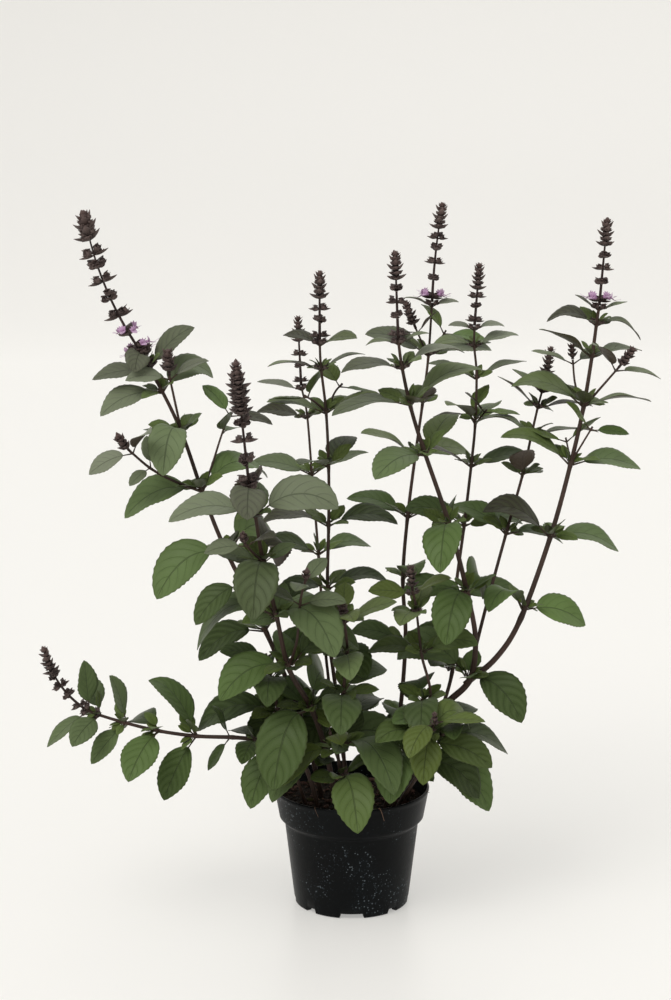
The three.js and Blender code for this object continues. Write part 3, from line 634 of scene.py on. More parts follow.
def purple_of(leaf, shoot):
    """How purple a leaf is: grey-purple near the spikes, green lower down."""
    near_spike = {0: 1.0, 1: 0.9, 2: 0.65, 3: 0.4}.get(leaf["last"], 0.12) if shoot.get("spike") else 0.0
    height = between(leaf["origin"][2], *PURPLE_HEIGHTS)
    return clamp(near_spike * (0.3 + 0.7 * height) + 0.14 * chance(leaf["key"], 11))


def tone_and_painted_shade_of(leaf):
    """How bright a leaf is painted: a random tone and painted shade, so that leaves deep in the plant are
    darker than those at its outside.
    """
    x, y, z = leaf["origin"]
    outside = min(hypot(x, y + 10) / 150 + max(z - 330, 0) / 600 - 0.1 * y / 100, 1.0)
    shade = LOW_BRANCH["shade"] if x < LOW_BRANCH["to_x"] and z < LOW_BRANCH["to_z"] else 0.0
    return clamp(0.12 + 0.6 * outside + 0.38 * chance(leaf["key"], 10) - shade)


def is_heart(leaf, shoot):
    """Whether a leaf is one of the heart-shaped bracts under a spike."""
    return leaf["last"] == 0 and shoot["stem"] in HEART_BRACTS and not shoot.get("on")


def tint_of(leaf, shoot):
    """How bright a leaf is painted, with its random tone and painted shade, how purple and how young it is.
    """
    if is_heart(leaf, shoot):
        return 0.35, 1.0, 0.0
    if leaf["origin"][2] > BROWN_LEAVES["from_z"] and chance(leaf["key"], 13) > BROWN_LEAVES["over"]:
        return 0.05, 1.0, 0.0
    youth = YOUTH.get(leaf["last"], 0.0) if shoot["stem"] in YOUNG_SHOOTS else 0.0
    if flatness_at(leaf["origin"]) > 0.5 and chance(leaf["key"], 12) > 0.1:
        youth = 0.7
    return tone_and_painted_shade_of(leaf), purple_of(leaf, shoot), youth


def fineness(length):
    """Rows along and columns to each side for a leaf of this length."""
    return (10, 3) if length < SMALL_LEAF else (18, 4) if length < MIDDLE_LEAF else (24, 6)


def add_tuft(mesh, leaf, tint, size):
    """The young leaves in a leaf's axil, which only the scene has: a larger pair and a smaller one."""
    for n in range(4):
        key = leaf["key"] * 5 + n
        small = n > 1
        apart = (20 if small else 46) * (1 if n % 2 else -1)
        flat = around_joint(leaf, apart + 14 * chance(key, 21))
        start = leaf["origin"] + flat * leaf["skin"] + leaf["tangent"] * (2.4 if small else 1.2)
        outward = risen(leaf, flat, (54 if small else 30) + 14 * chance(key, 22))
        length = size * (0.85 + 0.25 * chance(key, 23)) * (0.55 if small else 1.0)
        # The young leaves carry their leaf's random tone and painted shade, a little lighter.
        bright = clamp(tint[0] + 0.12 + 0.3 * chance(key, 24))
        shade = (bright, tint[1] * 0.35, 0.8 if small else 0.6)
        add_blade(mesh, start, outward, 0.4 + 0.3 * chance(key, 25), length,
                  (0.4, 0.4 * chance(key, 26)), shade, key, 8, 2)


def add_axil_cups(mesh, leaf, size):
    """The calyces of a lowest whorl, which stand in the leaf axils under a spike."""
    for cup in (-1, 0, 1):
        key = leaf["key"] * 3 + cup
        flat = around_joint(leaf, 42 * cup + 10 * chance(key, 31))
        tilt = unit(flat + leaf["tangent"] * (0.6 + 0.2 * chance(key, 32)))
        add_calyx(mesh, leaf["origin"] + flat * 0.5 + leaf["tangent"] * 1.2, tilt, leaf["tangent"], size,
                  (0.5 + 0.4 * chance(key, 33), 0.2, 0.0), CUP)


def build_shoots(leaf_material, stem_material, calyx_material):
    trees, meshes = {}, {}
    for index, shoot in enumerate(SHOOTS):
        node = shoot["stem"]
        if node not in trees:
            trees[node], meshes[node] = tip_tree(node), Mesh()
        mesh = meshes[node]
        add_stem(mesh, shoot)
        for leaf in leaves_of(shoot, index):
            way = find_way(leaf, trees[node])
            if way is None:
                continue
            start, outward = start_of(leaf, way[0])
            length = leaf["length"] * way[2]
            tint = tint_of(leaf, shoot)
            rows, columns = fineness(length)
            add_blade(mesh, start, outward, leaf["sag"] + way[1], length, leaf["roll"], tint,
                      leaf["key"], rows, columns, HEART_WIDTH if is_heart(leaf, shoot) else BLADE_WIDTH)
            if leaf["last"] and leaf["length"] >= SMALL_LEAF:
                add_tuft(mesh, leaf, tint, min(0.46 * leaf["length"], 22))
            if leaf["last"] < 2 and shoot.get("spike") and not shoot.get("on"):
                add_axil_cups(mesh, leaf, 0.42 * shoot["width"])
    for node, mesh in meshes.items():
        piece = mesh.object(node + "_fine", [stem_material, leaf_material, calyx_material])
        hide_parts(node)
        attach(piece, "root")


class Spike:
    """The line of a flower spike, with its whorls and those of its dense head."""

    def __init__(self, shoot):
        self.base = np.array(shoot["joints"][-1][:3], float)
        tip = np.array(shoot["spike"], float)
        self.height = float(np.linalg.norm(tip - self.base))
        self.axis = unit(tip - self.base)
        self.bow = np.array(shoot.get("bow", (0, 0, 0)), float)
        self.u, self.v = across(self.axis, False)
        self.radius = shoot["width"] / 2
        short = self.height < SHORT_SPIKE
        self.head = 0.8 * self.height if short else shoot.get("head", HEAD_HEIGHT)
        least, growth, most = WHORL_SPACING
        self.whorls, self.head_whorls = [], []
        s = FIRST_WHORL
        while s < self.height - self.head - WHORL_ABOVE:
            self.whorls.append(s)
            s += min(most, least + growth * (self.height - s))
        s = self.height - self.head
        while s < self.height - 2:
            self.head_whorls.append(s)
            s += HEAD_SPACING

    def head_reach(self, s):
        left = (self.height - s) / self.head
        return self.radius * min(HEAD_SHARE, HEAD_TAPER[0] + HEAD_TAPER[1] * left)

    def at(self, s):
        share = s / self.height
        return self.base + self.axis * s + self.bow * (4 * share * (1 - share))

    def around(self, degrees):
        a = radians(degrees)
        return self.u * cos(a) + self.v * sin(a)


# The materials of the flower spikes, by their place in an object's list.
CALYX, PETAL = 0, 1


def lift_of(direction, axis):
    """The direction at right angles to this one that is nearest to the axis."""
    return unit(axis - direction * (axis @ direction))


def add_scale(mesh, root, outward, up, length, width, curl, tint, slot=CALYX, blunt=0.7, rows=5,
              fold=0.25):
    """A small bract, lip or petal, folded and curled along its length."""
    sidewise = np.cross(outward, up)
    points, blade = [], []
    for under in (0, 1):
        for r in range(rows + 1):
            s = r / rows
            full = 0.3 * (1 - s) + sin(pi * s ** blunt) ** 0.85 if s < 1 else 0.04
            half = 0.5 * width * full
            centre = root + outward * (length * (s - 0.25 * curl * s * s)) + up * (curl * length * s * s)
            for c in (-1, 0, 1):
                lift = fold * half * abs(c) - (0.14 + 0.12 * (c == 0)) * under
                points.append(centre + sidewise * (half * c) + up * lift)
                blade.append((s, float(c), 0.0))
    mesh.add(points, sheet(rows, 3), slot, blade, tint)


def add_calyx(mesh, root, outward, axis, size, tint, slot=CALYX):
    """A small cup on a short stalk, with a flaring upper lip and pointed lower teeth."""
    up = lift_of(outward, axis)
    sidewise = np.cross(outward, up)
    places = [root + outward * (size * along) for along in (0, 0.2, 0.34, 0.56, 0.82, 0.68)]
    radii = [size * wide for wide in (0.06, 0.09, 0.2, 0.27, 0.3, 0.2)]
    tube(mesh, places, [(sidewise, up)] * 6, radii, slot, 8, tint=tint,
         blade=[(n / 5, 0.0, 0.0) for n in range(5)] + [(0.0, 0.0, 0.0)])
    level = unit(outward + axis * 0.15 - axis * (outward @ axis))
    add_scale(mesh, root + outward * size * 0.5 + up * size * 0.22, level, lift_of(level, axis),
              size * 0.6, size * 0.6, 0.3, (tint[0] * 0.6, tint[1], tint[2]), slot, 0.62)
    for tooth in (-1, 1):
        way = unit(outward + sidewise * 0.3 * tooth + up * 0.1)
        place = root + outward * size * 0.7 + sidewise * size * 0.12 * tooth - up * size * 0.2
        add_scale(mesh, place, way, up, size * 0.36, size * 0.2, 0.3, tint, slot, 0.5, 3)


def add_flower(mesh, root, outward, up, size, key):
    """A lilac two-lipped flower: a short tube, four lobes above, one below, and stamens."""
    sidewise = np.cross(outward, up)
    mouth = root + outward * (0.5 * size)
    tube(mesh, [root, root + outward * 0.3 * size, mouth], [(sidewise, up)] * 3,
         [0.10 * size, 0.14 * size, 0.22 * size], PETAL, 8, tint=(0.4, 0.3, 0.0))
    for lobe in range(4):
        a = radians(36 + 36 * lobe)
        spread = unit(sidewise * cos(a) + up * sin(a) + outward * 0.55)
        add_scale(mesh, mouth, spread, outward, 0.5 * size, 0.3 * size, -0.15,
                  (0.5 + 0.5 * chance(key, lobe), 0.5, 0.0), PETAL, 0.5)
    lower = unit(outward * 0.9 - up)
    add_scale(mesh, mouth, lower, lift_of(lower, up), 0.64 * size, 0.42 * size, 0.3,
              (0.9, 0.7, 0.0), PETAL, 0.5)
    for stamen in (-1, 0, 1):
        end = mouth + outward * 0.85 * size - up * 0.2 * size + sidewise * 0.14 * size * stamen
        middle = mouth + outward * 0.35 * size - up * 0.22 * size + sidewise * 0.05 * size * stamen
        tube(mesh, [mouth, middle, end], [(sidewise, up)] * 3, [0.12, 0.1, 0.2], PETAL, 5,
             tint=(1.0, 0.2, 1.0))


def add_whorl(mesh, spike, s, k, key, flowers):
    """One whorl low on a spike: three cups to each side, over a pointed bract."""
    centre, reach = spike.at(s), spike.radius
    for side in range(2):
        turn = 90 * (k % 2) + 180 * side + 12 * chance(key, side + 1)
        out = spike.around(turn)
        lean = unit(out - spike.axis * 0.3)
        add_scale(mesh, centre + out * 0.5 - spike.axis * reach * 0.26, lean, lift_of(lean, spike.axis),
                  reach * 1.06, reach * 0.56, 0.4, (0.5 + 0.4 * chance(key, side + 3), 0.2, 0.0),
                  fold=0.7)
        for cup in (-1, 0, 1):
            mark = cup + 9 + 3 * side
            way = spike.around(turn + 42 * cup + 8 * chance(key, mark))
            tilt = unit(way + spike.axis * (0.5 + 0.3 * chance(key, mark + 11)))
            size = reach * (0.76 + 0.1 * chance(key, mark + 31))
            tint = (0.45 + 0.5 * chance(key, mark + 22), 0.15 + 0.1 * chance(key, mark + 42), 0.0)
            low = 0.2 + 0.14 * chance(key, mark + 72)
            root = centre + way * 0.5 - spike.axis * reach * low
            add_calyx(mesh, root, tilt, spike.axis, size, tint)
            if k < flowers and (k == 0 or cup + side != 0):
                face = unit(way + spike.axis * (0.25 + 0.3 * chance(key, mark + 52)))
                add_flower(mesh, root + tilt * size * 0.5, face, lift_of(face, spike.axis),
                           FLOWER * (1 + 0.15 * chance(key, mark + 62)), key * 7 + mark)


def add_head_whorl(mesh, spike, s, k, key):
    """One whorl of the dense head: two long bracts and two short ones, over unopened buds."""
    centre, reach = spike.at(s), spike.head_reach(s)
    left = spike.height - s
    rise = 0.1 + 0.9 * max(0.0, 1 - left / HEAD_HEIGHT)
    red = 0.15 + 0.7 * max(0.0, 1 - left / 16)
    for n in range(4):
        out = spike.around(90 * (n + k) + 14 * chance(key, n + 50))
        lean = unit(out + spike.axis * (rise + 0.12 * chance(key, n + 90)))
        length = reach * ((1.16, 0.86)[n % 2] + 0.1 * chance(key, n + 60))
        add_scale(mesh, centre + out * 0.5 - spike.axis * 1.0, lean, lift_of(lean, spike.axis),
                  length, reach * 0.6, 0.4, (0.55 + 0.4 * chance(key, n + 70), red, 0.0), fold=0.8)
    for n in range(6):
        way = spike.around(60 * n + 30 * k + 8 * chance(key, n + 20))
        bud = unit(way + spike.axis * (rise + 0.25))
        add_calyx(mesh, centre + way * 0.4, bud, spike.axis, reach * (0.62 + 0.1 * chance(key, n + 30)),
                  (0.4 + 0.5 * chance(key, n + 80), red * 0.8, 0.0))


def add_spike(mesh, shoot, index, flowers):
    """A spike: its rachis, its whorls, those of its head, and the scales that close its tip."""
    spike = Spike(shoot)
    steps = 14
    rachis = [spike.at(0.4 + (spike.height - 2.4) * i / steps) for i in range(steps + 1)]
    radii = [RACHIS_RADIUS * (1.1 - 0.6 * i / steps) for i in range(steps + 1)]
    tube(mesh, rachis, [(spike.u, spike.v)] * (steps + 1), radii, CALYX, 8, tint=(0.1, 0.3, 0.0))
    for k, s in enumerate(spike.whorls):
        add_whorl(mesh, spike, s, k, index * 100 + k, flowers)
    for k, s in enumerate(spike.head_whorls):
        add_head_whorl(mesh, spike, s, k, index * 100 + 50 + k)
    for n in range(10):
        out = spike.around(137.5 * n)
        lean = unit(out * (0.85 - 0.07 * n) + spike.axis)
        length = min(spike.height * 0.4, 5.6) * (1 - 0.03 * n)
        add_scale(mesh, spike.at(spike.height - length - 0.2), lean, lift_of(lean, -out), length, 2.0,
                  -0.12, (0.6 + 0.3 * chance(index, n), 0.9, 0.0))


def build_spikes(cup_material, petal_material):
    seen = {}
    for index, shoot in enumerate(SHOOTS):
        if not shoot.get("spike"):
            continue
        place = seen.get(shoot["stem"], 0)
        seen[shoot["stem"]] = place + 1
        trunk = shoot["stem"].split("_", 1)[1]
        node = "spike_" + trunk + ("_side_%d" % place if place else "")
        mesh = Mesh()
        add_spike(mesh, shoot, index, FLOWERING.get(node, 0))
        piece = mesh.object(node + "_fine", [cup_material, petal_material])
        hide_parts(node)
        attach(piece, "root")


def notch_at(angle, radius):
    """Whether a foot point at this angle lies in one of the drainage notches."""
    for i in range(FOOT_NOTCHES):
        centre = -pi / 2 + 2 * pi * i / FOOT_NOTCHES
        off = abs((angle - centre + pi) % (2 * pi) - pi)
        if off * radius < (NARROW_NOTCH if i % 2 else WIDE_NOTCH) / 2:
            return True
    return False


def build_pot(material):
    """The pot as a fine turned shell, with a rolled lip and its foot cut by the notches."""
    top, foot = POT_TOP_RADIUS, POT_FOOT_RADIUS
    band = POT_HEIGHT - RIM_BAND_HEIGHT
    neck = top - RIM_STEP - NECK_STEP
    slope = (neck - foot) / (band - 4)
    profile = [
        (0, FLOOR_UNDERSIDE), (foot - 12, FLOOR_UNDERSIDE), (foot - 6, FLOOR_UNDERSIDE),
        (foot - 5.2, FLOOR_UNDERSIDE - 0.6), (foot - 5, 0.3), (foot - 4.7, 0), (foot - 0.9, 0),
        (foot - 0.2, 0.35), (foot, 1.2), (foot + slope * 2.6, NOTCH_HEIGHT + 0.2),
        (foot + slope * 12, 13),
        (foot + slope * 30, 31), (foot + slope * 50, 51), (neck - 0.25, band - 4.5),
        (neck, band - 3.4), (neck + 0.9, band - 2.4), (top - RIM_STEP - 0.9, band - 0.2),
        (top - RIM_STEP, band + 0.8), (top - RIM_STEP + 0.3, band + 2.5),
        (top - 1.0, POT_HEIGHT - 6), (top - 0.55, POT_HEIGHT - 3.2), (top - 0.1, POT_HEIGHT - 2.4),
        (top, POT_HEIGHT - 1.2), (top - 0.25, POT_HEIGHT - 0.3), (top - 0.9, POT_HEIGHT),
        (top - POT_WALL + 0.2, POT_HEIGHT - 0.2), (top - POT_WALL, POT_HEIGHT - 1.0),
        (top - RIM_STEP - POT_WALL, band + 1), (neck - POT_WALL, band - 3),
        (foot - POT_WALL, FLOOR_UNDERSIDE + POT_WALL), (0, FLOOR_UNDERSIDE + POT_WALL),
    ]
    sides = 288
    points = []
    rows = [row for row in profile if row[0] > 0]
    for radius, z in rows:
        for i in range(sides):
            a = 2 * pi * i / sides
            height = z
            if z < NOTCH_HEIGHT and radius > foot - 5.1 and notch_at(a, foot):
                height = NOTCH_HEIGHT
            points.append((radius * cos(a), radius * sin(a), height))
    faces = bands(len(rows), sides)
    under, inside = len(points), len(points) + 1
    points += [(0, 0, FLOOR_UNDERSIDE), (0, 0, FLOOR_UNDERSIDE + POT_WALL)]
    last = (len(rows) - 1) * sides
    for i in range(sides):
        j = (i + 1) % sides
        faces.append((j, i, under))
        faces.append((last + i, last + j, inside))
    mesh = Mesh()
    mesh.add(points, faces, 0)
    piece = mesh.object("pot_fine", [material])
    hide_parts("pot")
    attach(piece, "root")


def soil_height(x, y):
    """The crumbly top of the soil, lower at the wall."""
    r = hypot(x, y)
    rough = noise.fractal(Vector((x * 0.09, y * 0.09, 3.1)), 0.9, 2.1, 4)
    fine = noise.noise(Vector((x * 0.5, y * 0.5, 9.2)))
    return SOIL_LEVEL + 0.6 + 1.5 * rough + 0.7 * fine - max(r - SOIL_FALL_FROM, 0) * SOIL_FALL


def build_soil(material):
    """The soil's top as a fine lumpy disc on a plain root ball, with clods and bark on it."""
    low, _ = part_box("soil")
    bottom = low[2] / MM
    wall = POT_TOP_RADIUS - POT_WALL - RIM_STEP
    rings, sides = 44, 128
    points = [(0, 0, soil_height(0, 0))]
    top_radius = wall + 1.2
    for r in range(1, rings + 1):
        points += [(x, y, soil_height(x, y)) for x, y, _ in ring(top_radius * r / rings, 0, sides)]
    neck = POT_TOP_RADIUS - RIM_STEP - NECK_STEP
    walls = ((neck - POT_WALL - SOIL_GAP, POT_HEIGHT - RIM_BAND_HEIGHT - 3),
             (POT_FOOT_RADIUS - POT_WALL - SOIL_GAP, bottom))
    for radius, z in walls:
        points += ring(radius, z, sides)
    faces = fan(sides) + bands(rings + len(walls), sides, 1, True)
    last = 1 + (rings + 1) * sides
    faces.append(tuple(last + i for i in range(sides - 1, -1, -1)))
    mesh = Mesh()
    mesh.add(points, faces, 0)
    ground = mesh.object("soil_fine", [material])
    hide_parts("soil")
    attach(ground, "root")
    bits = Mesh()
    for n in range(CRUMBS):
        radius = (top_radius - 2.5) * sqrt(0.5 + 0.5 * chance(n, 1))
        a = pi * chance(n, 2)
        x, y = radius * cos(a), radius * sin(a)
        bark = n % 5 == 0
        size = (1.3 + 0.9 * chance(n, 3)) * (1.5 if bark else 0.8)
        centre = np.array((x, y, soil_height(x, y) + 0.25 * size))
        stretch = np.array((1.5 if bark else 1.0, 0.8, 0.45 if bark else 0.8))
        spin = pi * chance(n, 4)
        c, s = cos(spin), sin(spin)
        corners = []
        for row, (z, girth) in enumerate(((-0.8, 0.5), (-0.2, 1.0), (0.4, 0.9), (0.85, 0.4))):
            for i in range(6):
                angle = pi * i / 3 + 0.3 * row
                wide = girth * (1 + 0.25 * chance(n * 31 + i, row + 5)) * size
                px, py = wide * cos(angle) * stretch[0], wide * sin(angle) * stretch[1]
                offset = np.array((px * c - py * s, px * s + py * c, z * size * stretch[2]))
                corners.append(centre + offset)
        faces = bands(4, 6) + [(5, 4, 3, 2, 1, 0), (18, 19, 20, 21, 22, 23)]
        moss = 0.8 if n % 11 == 3 else 0.0
        bits.add(corners, faces, 0, tint=(0.5 + 0.45 * chance(n, 6), 0.9 if bark else 0.2, moss))
    crumbs = bits.object("soil_crumbs", [material], smooth=False)
    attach(crumbs, "root")


def build_root_hairs(material):
    """A few dry roots that lie from the soil over the rim and hang down outside."""
    mesh = Mesh()
    for degrees, hang, thick in ROOT_HAIRS:
        a = radians(degrees)
        path = ((POT_TOP_RADIUS - 12, SOIL_LEVEL + 0.5, 0.05), (POT_TOP_RADIUS - 5, SOIL_LEVEL + 1.5, 0.01),
                (POT_TOP_RADIUS - 0.8, POT_HEIGHT + thick, -0.02),
                (POT_TOP_RADIUS + 0.6 + thick, POT_HEIGHT - 1.5, 0.0),
                (POT_TOP_RADIUS + 0.6 + thick, POT_HEIGHT - hang, 0.04))
        curve = Curve([(r * cos(a + off), r * sin(a + off), z) for r, z, off in path])
        steps = [i / 20 for i in range(21)]
        places = [curve.at(s) for s in steps]
        frames = [across(curve.tangent(s), True) for s in steps]
        tube(mesh, places, frames, [thick * (1 - 0.5 * s) for s in steps], 0, 6, tint=(0.95, 0.6, 0.0))
    roots = mesh.object("root_hairs", [material])
    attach(roots, "root")


class Nodes:
    """A short way to write a node material."""

    def __init__(self, name):
        self.material = bpy.data.materials.new(name)
        self.material.use_nodes = True
        self.tree = self.material.node_tree
        self.shader = self.tree.nodes["Principled BSDF"]

    def node(self, kind, *numbered, **named):
        made = self.tree.nodes.new("ShaderNode" + kind)
        for key, value in [*enumerate(numbered), *named.items()]:
            self.put(made.inputs[key], value)
        return made

    def put(self, socket, value):
        if hasattr(value, "is_output"):
            self.tree.links.new(value, socket)
        else:
            socket.default_value = value

    def math(self, operation, a, b=0.0, c=0.0):
        made = self.node("Math", a, b, c)
        made.operation = operation
        return made.outputs[0]

    def times(self, a, b):
        return self.math("MULTIPLY", a, b)

    def less(self, a):
        """What a leaves of 1."""
        return self.math("SUBTRACT", 1.0, a)

    def mix(self, share, a, b):
        made = self.node("Mix", share)
        made.data_type = "RGBA"
        self.put(made.inputs[6], a)
        self.put(made.inputs[7], b)
        return made.outputs[2]

    def over(self, colour, where, share, *rgb):
        """Another colour laid over this one, where a value says, by a share of it."""
        return self.mix(self.times(where, share), colour, srgb(*rgb))

    def noise(self, scale, detail=3.0, rough=0.55):
        where = self.node("TexCoord").outputs["Object"]
        return self.node("TexNoise", Vector=where, Scale=scale, Detail=detail, Roughness=rough).outputs[0]

    def ramp(self, value, low, high):
        made = self.node("MapRange", value, low, high)
        made.interpolation_type = "SMOOTHSTEP"
        return made.outputs[0]

    def attribute(self, name):
        made = self.node("Attribute")
        made.attribute_name = name
        return tuple(self.node("SeparateXYZ", made.outputs["Vector"]).outputs)

    def bump(self, height, distance, strength=1.0):
        made = self.node("Bump", Height=height, Distance=distance, Strength=strength)
        self.tree.links.new(made.outputs[0], self.shader.inputs["Normal"])

    def finish(self, colour, roughness, **fixed):
        self.put(self.shader.inputs["Base Color"], colour)
        self.put(self.shader.inputs["Roughness"], roughness)
        for key, value in fixed.items():
            self.shader.inputs[key.replace("_", " ")].default_value = value
        return self.material


def srgb(r, g, b):
    """A colour given as it looks on screen, from 0 to 255."""
    def linear(c):
        c /= 255
        return c / 12.92 if c <= 0.04045 else ((c + 0.055) / 1.055) ** 2.4
    return linear(r), linear(g), linear(b), 1.0


def leaf_finish():
    m = Nodes("basil_leaf")
    s, w, under = m.attribute("blade")
    bright, purple, young = m.attribute("tint")
    a = m.math("ABSOLUTE", w)
    arched = m.math("SUBTRACT", s, m.times(m.math("POWER", a, VEIN_BEND), VEIN_ARCH))
    counted = m.math("FRACT", m.math("MULTIPLY_ADD", arched, VEINS, 0.5))
    off_vein = m.math("ABSOLUTE", m.math("SUBTRACT", counted, 0.5))
    lateral = m.less(m.ramp(off_vein, 0.015, 0.075))
    lateral = m.times(lateral, m.less(m.ramp(a, 0.55, 0.95)))
    midrib = m.less(m.ramp(a, 0.015, 0.055))
    vein = m.math("MAXIMUM", m.times(lateral, 0.5), midrib)
    swell = m.ramp(off_vein, 0.05, 0.5)
    patch = m.ramp(m.noise(45.0), 0.3, 0.75)
    fine = m.noise(900.0, 2.0)
    # bright is each leaf's random tone with its painted shade, darker deep in the plant.
    green = m.mix(bright, srgb(27, 41, 1), srgb(98, 122, 66))
    green = m.over(green, patch, 0.35, 58, 76, 26)
    green = m.over(green, young, 0.8, 86, 100, 34)
    grey = m.mix(bright, srgb(46, 41, 31), srgb(122, 127, 108))
    top = m.mix(m.times(purple, m.math("MULTIPLY_ADD", young, -0.6, 1.0)), green, grey)
    # Painted highlight: the puffs between the sunken veins are painted lighter.
    top = m.over(top, swell, 0.14, 104, 118, 82)
    # Partly the veins' own dark colour, partly painted shade in their sunken grooves.
    top = m.over(top, vein, 0.45, 30, 36, 20)
    below = m.mix(purple, srgb(58, 70, 30), srgb(70, 58, 50))
    below = m.over(below, vein, 0.4, 74, 60, 56)
    colour = m.mix(under, top, below)
    colour = m.over(colour, m.ramp(a, 0.94, 1.0), 0.3, 62, 56, 44)
    colour = m.over(colour, fine, 0.06, 150, 160, 132)
    height = m.math("ADD", m.times(vein, -0.8), m.times(fine, 0.2))
    m.bump(height, 0.0006, 0.8)
    return m.finish(colour, 0.42, Specular_IOR_Level=0.1, Sheen_Weight=0.02)


def stem_finish():
    m = Nodes("basil_stem")
    soft = m.attribute("tint")[2]
    streak = m.noise(160.0, 3.0)
    patch = m.ramp(m.noise(30.0), 0.35, 0.7)
    colour = m.mix(patch, srgb(44, 32, 30), srgb(68, 50, 46))
    colour = m.over(colour, streak, 0.3, 92, 78, 60)
    colour = m.over(colour, soft, 0.9, 72, 70, 48)
    m.bump(streak, 0.0004, 0.6)
    return m.finish(colour, 0.6, Specular_IOR_Level=0.2)


def calyx_finish():
    m = Nodes("basil_calyx")
    along, _, _ = m.attribute("blade")
    bright, red, _ = m.attribute("tint")
    grain = m.noise(700.0, 2.0)
    colour = m.mix(bright, srgb(20, 14, 14), srgb(96, 84, 80))
    colour = m.over(colour, red, 0.5, 82, 42, 36)
    colour = m.over(colour, grain, 0.25, 96, 84, 80)
    colour = m.over(colour, m.ramp(along, 0.3, 1.0), 0.45, 118, 102, 98)
    m.bump(grain, 0.0003, 0.6)
    return m.finish(colour, 0.6, Specular_IOR_Level=0.15, Sheen_Weight=0.05)


def petal_finish():
    m = Nodes("basil_petal")
    along, _, _ = m.attribute("blade")
    bright, _, pale = m.attribute("tint")
    colour = m.mix(bright, srgb(150, 104, 146), srgb(200, 164, 196))
    colour = m.over(colour, m.ramp(along, 0.0, 0.5), 0.5, 206, 176, 204)
    colour = m.over(colour, m.noise(500.0), 0.3, 132, 88, 134)
    colour = m.over(colour, pale, 0.7, 226, 218, 224)
    return m.finish(colour, 0.55, Specular_IOR_Level=0.3)


def pot_finish():
    m = Nodes("pot_plastic")
    where = m.node("TexCoord").outputs["Object"]
    patch = m.ramp(m.noise(30.0, 2.0), 0.4, 0.62)
    marks = m.ramp(m.noise(520.0, 4.0, 0.6), 0.6, 0.68)
    dots = m.node("TexVoronoi", Vector=where, Scale=300.0)
    speck = m.math("LESS_THAN", dots.outputs["Distance"], m.times(patch, 0.2))
    film = m.ramp(m.noise(16.0, 5.0, 0.7), 0.45, 0.8)
    scuff = m.noise(420.0, 3.0)
    colour = m.mix(m.times(film, 0.3), srgb(8, 10, 11), srgb(26, 34, 38))
    colour = m.over(colour, m.times(marks, patch), 0.4, 88, 100, 108)
    colour = m.over(colour, speck, 0.4, 120, 130, 136)
    rough = m.math("MULTIPLY_ADD", film, 0.2, 0.36)
    m.bump(scuff, 0.0002, 0.5)
    return m.finish(colour, rough, Specular_IOR_Level=0.08)


def soil_finish():
    m = Nodes("potting_soil")
    bright, bark, moss = m.attribute("tint")
    grain = m.noise(520.0, 5.0, 0.7)
    clump = m.noise(120.0, 3.0)
    colour = m.mix(m.ramp(grain, 0.3, 0.75), srgb(20, 16, 12), srgb(58, 46, 36))
    colour = m.over(colour, clump, 0.4, 34, 28, 22)
    colour = m.over(colour, bark, 0.6, 116, 84, 74)
    colour = m.over(colour, m.ramp(bright, 0.6, 1.0), 0.5, 140, 116, 98)
    colour = m.over(colour, moss, 0.7, 74, 84, 36)
    m.bump(m.math("ADD", grain, clump), 0.002, 0.9)
    return m.finish(colour, 0.95, Specular_IOR_Level=0.15)


def floor_finish():
    """A pale, slightly glossy floor with a faint glow of its own, which keeps its shadows soft."""
    m = Nodes("pale_floor")
    cloud = m.noise(1.5, 2.0)
    colour = m.mix(m.times(cloud, 0.12), srgb(193, 191, 187), srgb(189, 187, 182))
    m.shader.inputs["Emission Color"].default_value = srgb(255, 254, 250)
    return m.finish(colour, 0.35, Specular_IOR_Level=0.3, Emission_Strength=0.36)


def build_floor(material):
    """A round pale floor that sweeps up into a wall, so that it shows the same from all sides."""
    profile = [(FLOOR_FLAT * n / 3, 0.0) for n in (1, 2, 3)]
    turns = [a * pi / 24 for a in range(1, 13)]
    profile += [(FLOOR_FLAT + FLOOR_SWEEP * sin(a), FLOOR_SWEEP - FLOOR_SWEEP * cos(a)) for a in turns]
    profile += [(FLOOR_FLAT + FLOOR_SWEEP, 2 * FLOOR_SWEEP)]
    sides = 96
    points = [(0.0, 0.0, -FLOOR_DROP)]
    for radius, z in profile:
        points += ring(radius, z - FLOOR_DROP, sides)
    faces = fan(sides) + bands(len(profile), sides, 1, True)
    mesh = bpy.data.meshes.new("pale_floor")
    mesh.from_pydata(points, [], faces)
    mesh.materials.append(material)
    mesh.polygons.foreach_set("use_smooth", [True] * len(faces))
    mesh.update()
    floor = put_in_scene("pale_floor", mesh)


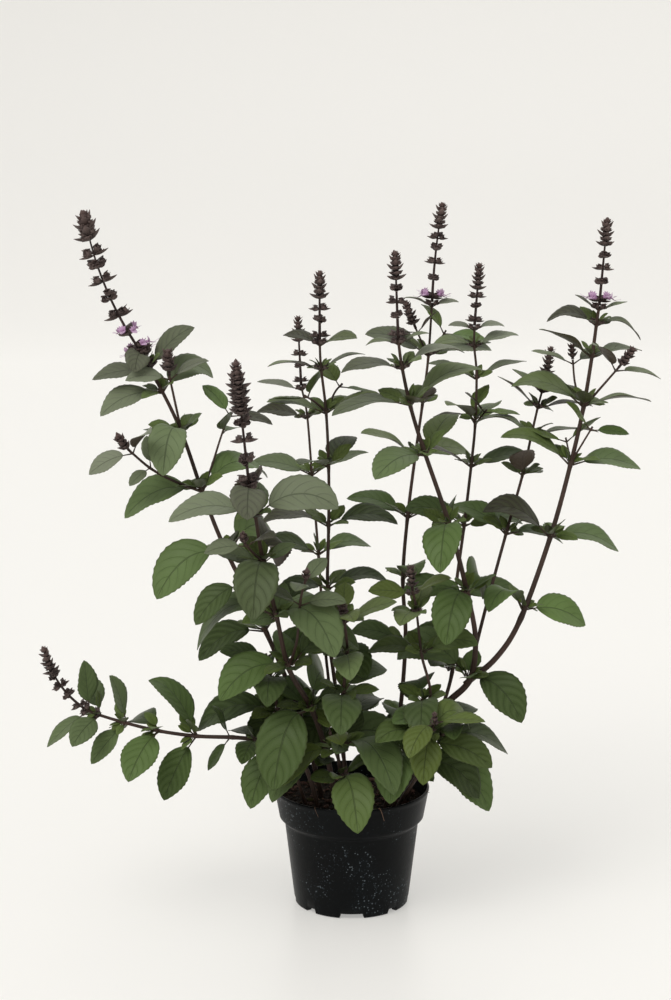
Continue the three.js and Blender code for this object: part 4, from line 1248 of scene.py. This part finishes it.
def add_lamp(kind, name, power, place, target=(0, 0, 0)):
    light = bpy.data.lights.new(name, kind)
    light.energy = power
    lamp = put_in_scene(name, light)
    lamp.location = place
    lamp.rotation_euler = (Vector(target) - Vector(place)).to_track_quat("-Z", "Y").to_euler()
    return light


def add_ceiling(name, power, place):
    """A wide soft light from one direction that falls evenly on the plant, the floor and the wall."""
    light = add_lamp("SUN", name, power, place)
    light.angle = radians(CEILING_SPREAD)


def add_disc(name, power, place, height, size, colour=(1.0, 1.0, 1.0)):
    """A round soft light that points at a height over the pot's foot."""
    light = add_lamp("AREA", name, power, place, (0, 0, height))
    light.shape = "DISK"
    light.size = size
    light.color = colour


def build_lights():
    world = bpy.data.worlds.new("studio")
    world.use_nodes = True
    sky = world.node_tree.nodes["Background"]
    sky.inputs["Color"].default_value = (1.0, 1.0, 1.0, 1.0)
    sky.inputs["Strength"].default_value = WORLD_LIGHT
    bpy.context.scene.world = world
    bpy.context.scene.view_settings.view_transform = "Standard"
    add_ceiling("ceiling_front", CEILING_LIGHT, (-0.4, -0.5, 1.0))
    add_ceiling("ceiling_back", 0.4 * CEILING_LIGHT, (0.3, 0.6, 1.0))
    add_disc("key", 21.0, (-1.0, -1.5, 2.3), 0.25, 1.3, (1.0, 0.985, 0.965))
    add_disc("fill", 3.0, (1.7, -1.0, 1.9), 0.25, 1.6, (0.98, 0.99, 1.0))
    add_disc("back", 3.0, (0.4, 1.9, 2.2), 0.3, 1.5)


def build_camera():
    camera = bpy.data.cameras.new("photo_camera")
    camera.sensor_fit = "AUTO"
    camera.sensor_width = SENSOR
    camera.lens = CAMERA_LENS
    camera.clip_end = 50
    holder = put_in_scene("photo_camera", camera)
    holder.location = CAMERA_PLACE
    holder.rotation_euler = (radians(90 - CAMERA_PITCH), 0, 0)
    bpy.context.scene.camera = holder


build_camera()
build_lights()
build_floor(floor_finish())
build_pot(pot_finish())
soil_material = soil_finish()
build_soil(soil_material)
build_root_hairs(soil_material)
calyx_material = calyx_finish()
build_shoots(leaf_finish(), stem_finish(), calyx_material)
build_spikes(calyx_material, petal_finish())
